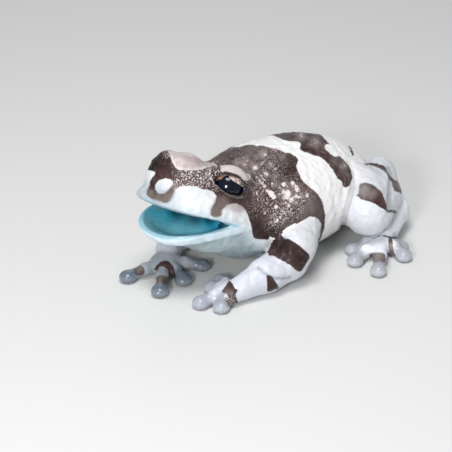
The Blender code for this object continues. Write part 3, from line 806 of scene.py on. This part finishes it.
BLURRED = [
    (158, 199, 8, 1.0), (169, 197, 7, 1.0), (173, 190, 5, 0.8), (148, 191, 4, 0.6), (216, 211, 8, 1.0),
    (224, 205, 5, 0.6), (212, 200, 5, 0.7), (228, 303, 7, 0.8), (378, 258, 9, 0.6), (360, 190, 7, 0.5),
]
PLACES = {"warts_and_highlights": WARTS, "thin": THIN, "painted_glints": GLINT_PLACES, "ink_and_crease_shade": INK, "blurred": BLURRED}
SPOT_CORE, SPOT_REACH = 0.15, 1.5


def fade(low, high, x):
    # a gentle step from one at low to nought at high
    return 1 - ease(low, high, x)


def spots(px, places):
    # how strongly the nearest soft round place is felt
    total = np.zeros(len(px))
    for x, y, size, strength in places:
        far = np.sqrt((px[:, 0] - x) ** 2 + (px[:, 1] - y) ** 2)
        total = np.maximum(total, strength * fade(SPOT_CORE * size, SPOT_REACH * size, far))
    return total


def along(px, points):
    # distance in pixels to a line through the points
    best = np.full(len(px), VAST)
    points = np.array(points, float)
    for a, b in zip(points[:-1], points[1:]):
        best = np.minimum(best, off_line(px, a, b))
    return np.sqrt(best)


def stroke(px, points, width):
    # a soft line through the points, one along its middle
    return np.exp(-(along(px, points) / width) ** 2)


def both_ways(rule, mine, seen):
    # a paint rule as it is seen here, and mirrored on what is hidden
    return seen * rule(here[mine]) + (1 - seen) * rule(mirrored[mine])


# Each region is painted as it is seen in the picture. The limbs of the far side take
# the near side's paint mirrored, and so does the hidden half of the trunk and head.
# No brown reaches the soles or the belly.
SOLE = 0.9
UNPAINTED = -3.0
SEEN_TURN = -0.05, 0.1
dark = np.full(len(p), UNPAINTED)
felt = {label: np.zeros(len(p)) for label in PLACES}
for index, region in enumerate(regions):
    mine = own == index
    if not mine.any():
        continue
    wraps = region["views"] == "both"
    seen = ease(*SEEN_TURN, facing[mine]) if wraps else float(region["views"] == "here")
    dark[mine] = both_ways(region["marks"], mine, seen)
    for label, listed in PLACES.items():
        if wraps or label != "warts_and_highlights":
            felt[label][mine] = both_ways(lambda px: spots(px, listed), mine, seen)
    lowest = BELLY if region["name"] == "trunk" else SOLE
    dark[mine] = np.minimum(dark[mine], p[mine, 2] - lowest)
    if region["name"] == "trunk":
        behind = np.maximum(p[mine, 2] - VENT_TOP, VENT_FROM - p[mine, 0])
        dark[mine] = np.minimum(dark[mine], behind)
warts_and_highlights, thin, painted_glints, ink_and_crease_shade, blurred = felt.values()

# Fine lines: painted shade in the black creases round the lids, partly the lids' own dark
# rims, a pale line below them, and pale lines of painted highlight on the wet crests of the
# wrinkles behind the eye. Each has a strength and a width in pixels.
CREST_HIGHLIGHT, CREST_HIGHLIGHT_WIDE = 0.62, 0.75
CREASE_SHADE, CREASE_SHADE_WIDE = 0.9, 0.9
LID_LINE, LID_LINE_WIDE = 0.85, 0.8
# Painted highlights: pale shining lines along the crests of the wrinkles behind the eye.
CREST_HIGHLIGHTS = [
    [(253, 171), (258, 178), (263, 184.5)], [(249.5, 175), (254, 181.5), (257.5, 188)],
    [(247, 182), (251, 187), (254, 194)], [(258.5, 172), (262, 177), (266, 181)],
    [(257, 191), (258.5, 197), (257, 203)], [(283, 213), (279, 219), (274, 224)],
]
# Painted shade: black lines in the creases round the lids, partly the lids' own dark rims.
SHADED_CREASES = [
    [(213.2, 175), (213.6, 180), (217.5, 186), (224, 191), (232, 195.6), (240, 196.8), (245, 193)],
    [(217, 174.2), (222, 172.8), (229, 173.6), (235, 175.2), (241, 178), (245, 182.5), (246, 188)],
]
LOWER_LID = [
    (209.5, 172), (210.8, 178), (214.8, 184.6), (221.3, 190.2), (229, 195.2), (237, 198.2), (243, 197),
]
around = picture(near_side(p))
tint = weights @ np.array([region["milk"] for region in regions])
for line in CREST_HIGHLIGHTS:
    warts_and_highlights = np.maximum(warts_and_highlights, CREST_HIGHLIGHT * (facing > 0) * stroke(here, line, CREST_HIGHLIGHT_WIDE))
for crease in SHADED_CREASES:
    ink_and_crease_shade = np.maximum(ink_and_crease_shade, CREASE_SHADE * head_weight * stroke(around, crease, CREASE_SHADE_WIDE))
thin = np.maximum(thin, LID_LINE * head_weight * stroke(around, LOWER_LID, LID_LINE_WIDE))


def shade(amount, colour):
    global tint
    tint = tint * (1 - amount[:, None]) + np.array(colour) * amount[:, None]


# Tints laid over the milky rubber: a colour, how much of it covers, and where it begins
# and is full along the head's forward, side and up directions, or above the floor. Among
# them are painted highlights along ridges, painted shade low on the trunk and painted
# shadow on the far hand's pads.
CROWN, CROWN_COVER = (0.44, 0.355, 0.34), 0.9
CROWN_LEVEL, CROWN_HALF = (6.4, 7.8), (5.0, 6.6)
# Painted highlights: pale lines along the edge of the crown and the ridge of the upper lid.
CROWN_EDGE = [(171, 156), (173.5, 163), (177, 167.5), (183, 169.5), (192, 169.6), (202, 168.6), (209, 166)]
LID_RIDGE = [(221, 164), (230, 164.8), (238, 168.5), (243.5, 174), (246, 180)]
RIDGE_HIGHLIGHT, RIDGE_HIGHLIGHT_COVER, RIDGE_HIGHLIGHT_WIDE = (0.72, 0.64, 0.62), 0.7, 1.5
LID_PINK, LID_COVER = (0.50, 0.41, 0.41), 0.7
LID_MIDDLE, LID_SPREAD = (2.6, 7.1, 6.3), (4.5, 5.4)
LIP_BLUE, LIP_COVER = (0.52, 0.64, 0.71), 0.75
LIP_LEVEL, LIP_FRONT = (0.3, 1.6), (0.0, 4.0)
SNOUT_GREY, SNOUT_COVER = (0.44, 0.50, 0.57), 0.85
SNOUT_FRONT, SNOUT_LEVEL = (12.0, 14.6), (2.0, 4.2)
# Painted shade: the trunk is tinted grey-blue low down, darker towards the floor.
BELLY_SHADE, BELLY_SHADE_COVER = (0.55, 0.62, 0.63), 0.7
BELLY_LEVEL = 2.0, 6.0
HAND_PAD = (0.29, 0.315, 0.38)
# The far hand's pads are painted dark as painted shadow.
SHADOWED_FAR_PAD = (0.075, 0.11, 0.15)
FOOT_PAD = (0.30, 0.32, 0.36)
PAD_COVER, PAD_SPREAD, PAD_TOP = 0.85, (1.2, 2.6), 4
f, l, u = q.T
shade(head_weight * ease(*CROWN_LEVEL, u) * fade(*CROWN_HALF, np.abs(l)) * CROWN_COVER, CROWN)
from_lid = np.sqrt((f - LID_MIDDLE[0]) ** 2 + (np.abs(l) - LID_MIDDLE[1]) ** 2 + (u - LID_MIDDLE[2]) ** 2)
shade(head_weight * fade(*LID_SPREAD, from_lid) * LID_COVER, LID_PINK)
# Painted highlight along the crown's edge and along the lid's ridge.
shade(head_weight * stroke(here, CROWN_EDGE, RIDGE_HIGHLIGHT_WIDE) * RIDGE_HIGHLIGHT_COVER, RIDGE_HIGHLIGHT)
shade(head_weight * stroke(around, LID_RIDGE, RIDGE_HIGHLIGHT_WIDE) * RIDGE_HIGHLIGHT_COVER, RIDGE_HIGHLIGHT)
shade(head_weight * fade(*LIP_LEVEL, u) * ease(*LIP_FRONT, f) * LIP_COVER, LIP_BLUE)
shade(head_weight * ease(*SNOUT_FRONT, f) * fade(*SNOUT_LEVEL, u) * SNOUT_COVER, SNOUT_GREY)
# Painted shade low on the trunk, darker towards the floor.
shade(trunk_weight * fade(*BELLY_LEVEL, p[:, 2]) * BELLY_SHADE_COVER, BELLY_SHADE)
wet = np.zeros(len(p))
for tips, side, grey in (
    (LEFT_TIPS, 1, HAND_PAD), (RIGHT_TIPS, 1, SHADOWED_FAR_PAD), (FOOT_TIPS, 1, FOOT_PAD), (FOOT_TIPS, -1, FOOT_PAD),
):
    for x, y in tips:
        near = np.sqrt((p[:, 0] - x) ** 2 + (p[:, 1] - side * y) ** 2)
        on_pad = fade(*PAD_SPREAD, near) * (p[:, 2] < PAD_TOP)
        shade(on_pad * PAD_COVER, grey)
        wet = np.maximum(wet, on_pad)

# The mouth is lined with teal paint, paler towards the rim of the lower jaw. The lining
# also carries painted shade, a dark teal that is partly the roof's own colour, under the
# upper lip, at the back and on the walls that face down, and painted light, a brighter
# teal on the front of its floor and in its corner. The pairs say where each layer begins
# and is full, in millimetres or as the slope of the skin.
# Painted shade under the lower jaw: the throat below the rim is tinted a darker grey-blue.
THROAT_SHADE, THROAT_SHADE_COVER, THROAT_SHADE_LEVEL = (0.33, 0.41, 0.43), 0.9, (-2.8, -1.2)
# Dark teal of painted shade, partly the roof's own colour; the bright teal is painted light.
TEAL_SHADE = np.array((0.006, 0.10, 0.135))
MIDDLE = np.array((0.06, 0.62, 0.84))
TEAL_LIT = np.array((0.26, 0.84, 1.0))
PALE = np.array((0.32, 0.52, 0.59))
LINING_EDGE = -0.15, 0.35
RIM_SLOPE, RIM_FROM = (0.15, 0.6), (2.0, 6.0)
RIM_AT, RIM_HALF = 0.2, (0.8, 1.6)
UPPER_SLOPE, UPPER_HALF = (0.3, 0.7), (0.9, 1.6)
UPPER_FROM, UPPER_COVER = 0.5, 0.55
PALE_DEPTH, PALE_SLOPE, PALE_CUT = (0.5, 3.6), (0.1, 0.6), 0.85
SHADE_AT_BACK = -6.0, -2.0
SHADED_WALL_SLOPE, SHADED_WALL_FROM = -0.2, 3
BROWN_OUT = 4.0
# Places of painted shadow under the upper lip, of plain teal on the left wall, and of painted light on the
# front of the floor and in the mouth's corner.
MOUTH_SHADOW_PLACES = [(178, 210, 11, 0.95), (195, 214, 12, 1.0), (209, 218, 8, 0.9), (163, 205, 7, 0.55)]
TEAL_PLACES = [(142, 205, 12, 1.0), (147, 214, 12, 1.0), (156, 201, 9, 0.8)]
MOUTH_LIGHT_PLACES = [
    (158, 230, 15, 1.0), (174, 232, 15, 1.0), (148, 221, 10, 0.7), (194, 230, 13, 0.9), (222, 223, 6, 1.0),
]
jf, jl, ju = ((p - JAW_HINGE) @ JAW.T).T
# Painted shade on the throat below the jaw's rim.
shade_below_rim = jaw_weight * fade(*THROAT_SHADE_LEVEL, ju)
shade(shade_below_rim * THROAT_SHADE_COVER, THROAT_SHADE)
above = p + LID_THICK * normals
hollow = np.minimum(palate_distance(above), basin_distance(above))
lining = fade(*LINING_EDGE, hollow)
jaw_up = normals @ JAW[2]
rim_top = ease(*RIM_SLOPE, jaw_up) * ease(*RIM_FROM, jf) * fade(*RIM_HALF, np.abs(ju - RIM_AT))
lining = np.maximum(lining, rim_top * on_jaw)
upper = ease(*UPPER_SLOPE, -(normals @ HEAD_UP)) * fade(*UPPER_HALF, np.abs(u)) * (f > UPPER_FROM)
lining = np.maximum(lining, upper * on_head * UPPER_COVER)
rim = fade(*PALE_DEPTH, -arch_distance(jf, jl, LOWER_LIP_LONG, LOWER_LIP_HALF, JAW_BLUNT))[:, None]
rim = rim * (ease(*PALE_SLOPE, jaw_up) * (1 - PALE_CUT * spots(here, TEAL_PLACES)))[:, None]
# Painted shade at the back and under the upper lip; painted light on the front of the floor.
mouth_shade = np.maximum(spots(here, MOUTH_SHADOW_PLACES), fade(*SHADE_AT_BACK, jf))[:, None]
mouth_light = spots(here, MOUTH_LIGHT_PLACES)[:, None]
floor_teal = MIDDLE * (1 - mouth_light) + TEAL_LIT * mouth_light
floor_teal = floor_teal * (1 - mouth_shade) + TEAL_SHADE * mouth_shade
floor_teal = floor_teal * (1 - rim) + PALE * rim
# Walls that face down take the dark teal of painted shade.
teal = np.where((jaw_up > SHADED_WALL_SLOPE)[:, None] | (jf < SHADED_WALL_FROM)[:, None], floor_teal, TEAL_SHADE)
tint = tint * (1 - lining[:, None]) + teal * lining[:, None]
dark = dark - BROWN_OUT * lining
wet = np.maximum(wet, lining)

# Folds pressed into the skin: a line of picture points, its width in pixels and depth.
FOLDS = [
    ([(250, 168), (256, 176), (262, 184), (268, 190)], 1.6, 0.24),
    ([(252, 175), (257, 183), (260, 190)], 1.4, 0.20),
    ([(247, 181), (252, 186), (256, 192), (259, 200)], 1.4, 0.20),
    ([(259, 190), (261, 198), (260, 206)], 1.3, 0.16),
    ([(263, 178), (268, 184), (274, 187), (281, 188)], 1.4, 0.12),
    ([(284.8, 237.8), (278, 246), (270.5, 253)], 2.2, 0.45),
    ([(257, 266.6), (264, 272), (270, 277), (276, 278.5), (285, 279), (291, 277.7)], 2.0, 0.40),
    ([(277, 262), (284, 267), (293, 271), (301, 273)], 2.0, 0.18),
    ([(268, 237.5), (274, 233), (281, 229.5), (287, 225), (292, 218.7)], 2.0, 0.40),
    ([(284.7, 237), (292, 235), (300, 234)], 1.8, 0.15),
    ([(222, 186), (228, 193), (236, 197.5), (243, 196.5)], 1.3, 0.14),
    ([(209, 171), (210.5, 180), (216, 188), (223, 194.5), (231, 198.5)], 1.2, 0.16),
    ([(224, 173.5), (231, 174.5), (237, 176.5), (241.5, 180)], 1.0, 0.14),
    ([(389, 168), (391.5, 178), (391, 190), (389.5, 200), (390, 211)], 2.6, 0.55),
    ([(352, 172), (353, 185), (349, 200), (345, 214), (343, 227)], 3.2, 0.45),
    ([(334, 196), (337, 208), (336, 220), (331, 232)], 3.0, 0.16),
    ([(343, 186), (345, 196), (343, 206)], 2.6, 0.14),
    ([(246, 268), (250, 275), (251, 283)], 1.8, 0.16),
]
FOLD_FULL = 0.3
fold = np.zeros(len(p))
for points, width, depth in FOLDS:
    fold = np.maximum(fold, depth * stroke(here, points, width) * (facing > 0))

# Grain of the skin: many faint waves in all directions, seeded so they stay the same.
GRAIN_WAVES, GRAIN_SEED = 40, 7
GRAIN_LONG = 1.2, 2.4
GRAIN_HIGH = 0.045
WART_HIGH = 0.12
SMOOTH_LIDS = 3.8, 5.0
draw = np.random.default_rng(GRAIN_SEED)
grain_rise = np.zeros(len(p))
for wave in range(GRAIN_WAVES):
    way = unit(draw.normal(size=3)) * 2 * math.pi / draw.uniform(*GRAIN_LONG)
    grain_rise += np.sin(p @ way + draw.uniform(0, 2 * math.pi))
grain_rise *= math.sqrt(2 / GRAIN_WAVES)
grained = (1 - lining) * ease(*BELLY_LEVEL, p[:, 2]) * (1 - head_weight * fade(*SMOOTH_LIDS, from_lid))
raised = GRAIN_HIGH * grain_rise * grained + WART_HIGH * warts_and_highlights - fold
p = p + raised[:, None] * normals
p[:, 2] = np.maximum(p[:, 2], 0.0)
move_points(skin_mesh, p)


def keep(mesh, name, values):
    # values kept on the mesh's points, for its paint to read
    flat = np.asarray(values, dtype=np.float32)
    kind = "FLOAT" if flat.ndim == 1 else "FLOAT_COLOR"
    if flat.ndim == 2:
        flat = np.concatenate([flat, np.ones((len(flat), 1), np.float32)], 1)
    attribute = mesh.attributes.new(name, kind, "POINT")
    attribute.data.foreach_set("value" if kind == "FLOAT" else "color", flat.ravel())


for label, values in (
    ("dark", dark), ("warts_and_highlights", warts_and_highlights), ("thin", thin), ("painted_glints", painted_glints), ("ink_and_crease_shade", ink_and_crease_shade), ("trunk", trunk_weight),
    ("blurred", blurred), ("wet", wet), ("fold", np.minimum(1.0, fold / FOLD_FULL)), ("tint", tint),
):
    keep(skin_mesh, label, values)


def material(name, finish):
    # a plain shader with the finish's values set on it
    made = bpy.data.materials.new(name)
    made.use_nodes = True
    tree = made.node_tree
    for node in list(tree.nodes):
        tree.nodes.remove(node)
    shader = tree.nodes.new("ShaderNodeBsdfPrincipled")
    end = tree.nodes.new("ShaderNodeOutputMaterial")
    tree.links.new(shader.outputs[0], end.inputs[0])
    for socket, value in finish.items():
        shader.inputs[socket].default_value = value
    return made, tree, shader


def feed(made, values):
    # a node's inputs get numbers, colours or other nodes' outputs
    for socket, value in values.items():
        if isinstance(value, tuple):
            made.inputs[socket].default_value = (*value, 1)
        elif isinstance(value, (int, float)):
            made.inputs[socket].default_value = value
        else:
            tree.links.new(value, made.inputs[socket])


def node(kind, values, **settings):
    made = tree.nodes.new("ShaderNode" + kind)
    for key, value in settings.items():
        setattr(made, key, value)
    feed(made, values)
    return made


def maths(operation, a, b):
    return node("Math", {0: a, 1: b}, operation=operation).outputs[0]


def times(a, b):
    return maths("MULTIPLY", a, b)


def plus(a, b):
    return maths("ADD", a, b)


# A mix of colours takes its amount and its two colours by these numbers, and gives one.
AMOUNT, COLOUR_A, COLOUR_B, COLOUR_OUT = 0, 6, 7, 2


def mixed(amount, a, b):
    # colour a with the given amount of colour b over it
    return node("Mix", {AMOUNT: amount, COLOUR_A: a, COLOUR_B: b}, data_type="RGBA").outputs[COLOUR_OUT]


def ramped(value, low, high):
    values = {"Value": value, "From Min": low, "From Max": high}
    return node("MapRange", values, interpolation_type="SMOOTHSTEP").outputs[0]


def speckles(scale, detail):
    return node("TexNoise", {"Scale": scale, "Detail": detail, "Vector": places}).outputs["Fac"]


def swing(value, amount):
    # a noise as a swing about nought
    return times(maths("SUBTRACT", value, 0.5), amount)


def read(name, output="Fac"):
    return node("Attribute", {}, attribute_name=name).outputs[output]


BROWN_DEEP = (0.036, 0.017, 0.015)
BROWN_WARM, WARM_RAMP = (0.088, 0.048, 0.045), (0.35, 0.7)
BROWN_DUSTY, DUSTY_RAMP, DUSTY_COVER = (0.14, 0.094, 0.090), (0.52, 0.72), 0.5
BROWN_THIN, THIN_LEAST = (0.35, 0.30, 0.285), 0.45
OLIVE, OLIVE_COVER = (0.17, 0.152, 0.125), 0.55
BROWN_FLECK, FLECK_RAMP, FLECK_PATCHES = (0.34, 0.27, 0.26), (0.57, 0.69), (0.42, 0.60)
WART_AND_HIGHLIGHT_CREAM, WART_RAMP, WART_SPREAD = (0.86, 0.77, 0.75), (0.22, 0.62), (0.02, 0.55)
BLACK_INK_AND_SHADE, INK_COVER = (0.012, 0.010, 0.009), 0.95
GLINT, GLINT_RAMP, GLINT_COVER = (0.92, 0.82, 0.82), (0.53, 0.60), 0.9
DARK_SPECK, DARK_SPECK_RAMP, DARK_SPECK_COVER = (0.016, 0.010, 0.010), (0.50, 0.40), 0.6
MILK_GREY, MILK_RAMP, MILK_COVER = (0.70, 0.72, 0.76), (0.4, 0.75), 0.18
FOLD_SHADE, FOLD_RAMP, FOLD_COVER = (0.05, 0.04, 0.045), (0.45, 1.0), 0.35
CRISP_RAMP, BLURRED_RAMP = (-0.10, 0.12), (-0.65, 0.42)
FINE_NOISE, MEDIUM_NOISE, BROAD_NOISE = (2600, 3), (900, 3), (220, 2)
FLECK_NOISE, GLINT_NOISE = (1500, 2), (3500, 1)
EDGE_FINE, EDGE_MEDIUM = 0.32, 0.30
WART_FINE, WART_MEDIUM = 0.9, 1.1
DRY_ROUGH, WET_ROUGH = 0.36, 0.20
DRY_COAT, WET_COAT = 0.10, 0.40
SHINE, INK_DULL = 0.24, 0.85
PORE_SCALE = 1500
PORE_HIGH, GRAIN_BUMP, WART_BUMP = -0.5, 0.7, 0.8
BUMP_STRONG, BUMP_DEEP = 0.55, 0.00028
SKIN_FINISH = {
    "Subsurface Weight": 0.12, "Subsurface Radius": (1.0, 0.75, 0.7), "Subsurface Scale": 0.0007,
    "Coat Roughness": 0.10,
}
skin_rubber, tree, shader = material("painted_rubber", SKIN_FINISH)
places = node("TexCoord", {}).outputs["Object"]
fine = speckles(*FINE_NOISE)
medium = speckles(*MEDIUM_NOISE)
broad = speckles(*BROAD_NOISE)
edge = plus(plus(read("dark"), swing(fine, EDGE_FINE)), swing(medium, EDGE_MEDIUM))
brown = mixed(ramped(broad, *WARM_RAMP), BROWN_DEEP, BROWN_WARM)
brown = mixed(times(ramped(medium, *DUSTY_RAMP), DUSTY_COVER), brown, BROWN_DUSTY)
brown = mixed(times(read("thin"), plus(THIN_LEAST, medium)), brown, BROWN_THIN)
brown = mixed(times(read("blurred"), OLIVE_COVER), brown, OLIVE)
fleck = times(ramped(speckles(*FLECK_NOISE), *FLECK_RAMP), read("trunk"))
brown = mixed(times(fleck, ramped(broad, *FLECK_PATCHES)), brown, BROWN_FLECK)
# The pale warts and the painted highlights on the wrinkles' crests share one cream.
wart_and_highlight = plus(plus(read("warts_and_highlights"), swing(medium, WART_MEDIUM)), swing(fine, WART_FINE))
wart_and_highlight = times(ramped(wart_and_highlight, *WART_RAMP), ramped(read("warts_and_highlights"), *WART_SPREAD))
brown = mixed(wart_and_highlight, brown, WART_AND_HIGHLIGHT_CREAM)
# Nearly black places, and the painted shade in the creases round the lids.
brown = mixed(times(read("ink_and_crease_shade"), INK_COVER), brown, BLACK_INK_AND_SHADE)
# Painted glints: pale specks of light over the brown where the glint places reach.
glint = times(ramped(speckles(*GLINT_NOISE), *GLINT_RAMP), read("painted_glints"))
brown = mixed(times(glint, GLINT_COVER), brown, GLINT)
# Dark specks between the painted glints.
brown = mixed(times(times(ramped(fine, *DARK_SPECK_RAMP), read("painted_glints")), DARK_SPECK_COVER), brown, DARK_SPECK)
milk = mixed(times(ramped(broad, *MILK_RAMP), MILK_COVER), read("tint", "Color"), MILK_GREY)
cover = mixed(read("blurred"), ramped(edge, *CRISP_RAMP), ramped(edge, *BLURRED_RAMP))
colour = mixed(cover, milk, brown)
# Painted shade darkens the colour along the pressed folds.
colour = mixed(times(ramped(read("fold"), *FOLD_RAMP), FOLD_COVER), colour, FOLD_SHADE)
rough = node("MapRange", {"Value": read("wet"), "To Min": DRY_ROUGH, "To Max": WET_ROUGH})
shown = maths("SUBTRACT", 1.0, times(read("ink_and_crease_shade"), INK_DULL))
varnish = plus(times(read("wet"), WET_COAT), times(shown, DRY_COAT))
pores = node("TexVoronoi", {"Scale": PORE_SCALE, "Vector": places}, feature="SMOOTH_F1")
height = plus(times(pores.outputs[0], PORE_HIGH), times(medium, GRAIN_BUMP))
height = plus(height, times(plus(wart_and_highlight, glint), WART_BUMP))
bump = node("Bump", {"Strength": BUMP_STRONG, "Distance": BUMP_DEEP, "Height": height})
feed(shader, {
    "Base Color": colour, "Roughness": rough.outputs[0], "Coat Weight": varnish,
    "Specular IOR Level": times(shown, SHINE), "Normal": bump.outputs[0],
})


def finish_piece(name, mesh, paint, nodes):
    # from millimetres to the frame's metres, smooth, and standing in for solid nodes
    move_points(mesh, (points_of(mesh) + SHIFT) * MM)
    mesh.polygons.foreach_set("use_smooth", np.ones(len(mesh.polygons), bool))
    mesh.materials.clear()
    mesh.materials.append(paint)
    thing = bpy.data.objects.new(name, mesh)
    scene.collection.objects.link(thing)
    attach(thing, list(frame["bodies"])[0])
    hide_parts(*nodes)


finish_piece("skin", skin_mesh, skin_rubber, [n for n in frame["nodes"] if not n.endswith("eye")])

# Eyeballs: glass balls set behind the slits, painted with a very wide near-black pupil
# and a thin iris that turns from orange in front to cream at the back.
AROUND, RINGS = 64, 48
PUPIL = rounded([
    (210, 183), (216, 180.8), (220.5, 179.6), (224, 177.2), (227, 175.6), (230, 177.6), (233, 181),
    (237, 183.4), (241, 186), (246, 188.6), (254, 200), (240, 214), (220, 212), (206, 200), (205, 188),
])
IRIS_ORANGE = (0.38, 0.20, 0.14)
IRIS_CREAM = (0.72, 0.59, 0.53)
IRIS_STREAK = (0.16, 0.085, 0.07)
PUPIL_BLACK = (0.002, 0.003, 0.013)
PUPIL_BACK, PUPIL_RAMP = -1.0, (-0.06, 0.10)
GOLD_TURN = 223, 233
IRIS_NOISE, STREAK_RAMP, STREAK_SWING = (2400, 4), (0.45, 0.62), 0.12
EYE_FINISH = {"Roughness": 0.12, "Coat Weight": 0.25, "Coat Roughness": 0.03, "Specular IOR Level": 0.30}
for name, centre in (("left_eye", NEAR_EYE), ("right_eye", FAR_EYE)):
    bm = bmesh.new()
    bmesh.ops.create_uvsphere(bm, u_segments=AROUND, v_segments=RINGS, radius=EYE_R)
    eye_mesh = bpy.data.meshes.new(name + "_ball")
    bm.to_mesh(eye_mesh)
    bm.free()
    move_points(eye_mesh, points_of(eye_mesh) + centre)
    q = near_side(points_of(eye_mesh))
    px = picture(q)
    seen = (q - NEAR_EYE) @ BACK
    keep(eye_mesh, "pupil", np.where(seen > PUPIL_BACK, outline(px, PUPIL) * PIXEL, 1.0))
    keep(eye_mesh, "gold", ease(*GOLD_TURN, px[:, 0]))
    eye_glass, tree, shader = material(name + "_glass", EYE_FINISH)
    places = node("TexCoord", {}).outputs["Object"]
    streaks = speckles(*IRIS_NOISE)
    iris = mixed(read("gold"), IRIS_ORANGE, IRIS_CREAM)
    iris = mixed(ramped(streaks, *STREAK_RAMP), iris, IRIS_STREAK)
    pupil_edge = ramped(plus(read("pupil"), times(streaks, STREAK_SWING)), *PUPIL_RAMP)
    feed(shader, {"Base Color": mixed(pupil_edge, iris, PUPIL_BLACK)})
    finish_piece(name + "_ball", eye_mesh, eye_glass, [name])

# Floor and lights: a plain pale matt floor, a soft lamp above in front, a low one
# that reaches into the open mouth, a faint one behind and a pale studio all round.
FLOOR_HALF = 1.5
FLOOR_FINISH = {"Base Color": (0.70, 0.70, 0.69, 1), "Roughness": 0.9}
bm = bmesh.new()
bmesh.ops.create_grid(bm, x_segments=1, y_segments=1, size=FLOOR_HALF)
floor_mesh = bpy.data.meshes.new("floor")
bm.to_mesh(floor_mesh)
bm.free()
floor = bpy.data.objects.new("floor", floor_mesh)
scene.collection.objects.link(floor)
floor_paint, tree, shader = material("floor_paint", FLOOR_FINISH)
floor_mesh.materials.append(floor_paint)

# Each lamp: its name, its place, where it is aimed, its width and its power in watts.
LAMPS = [
    ("key", (-0.10, -0.05, 0.34), (-0.01, 0, 0.01), 0.16, 0.74),
    ("mouth", (-0.29, -0.13, 0.15), (-0.026, 0, 0.012), 0.07, 0.58),
    ("back", (0.20, 0.20, 0.22), (0, 0, 0.01), 0.20, 0.09),
]
for name, place, aim, size, power in LAMPS:
    lamp = bpy.data.lights.new(name, "AREA")
    lamp.shape = "DISK"
    lamp.size = size
    lamp.energy = power
    stand = bpy.data.objects.new(name, lamp)
    scene.collection.objects.link(stand)
    stand.location = Vector(place)
    stand.rotation_mode = "QUATERNION"
    stand.rotation_quaternion = (Vector(place) - Vector(aim)).to_track_quat("Z", "Y")
STUDIO, STUDIO_LIGHT = (0.86, 0.88, 0.90, 1), 0.40
world = bpy.data.worlds.new("studio")
scene.world = world
world.use_nodes = True
world.node_tree.nodes["Background"].inputs["Color"].default_value = STUDIO
world.node_tree.nodes["Background"].inputs["Strength"].default_value = STUDIO_LIGHT
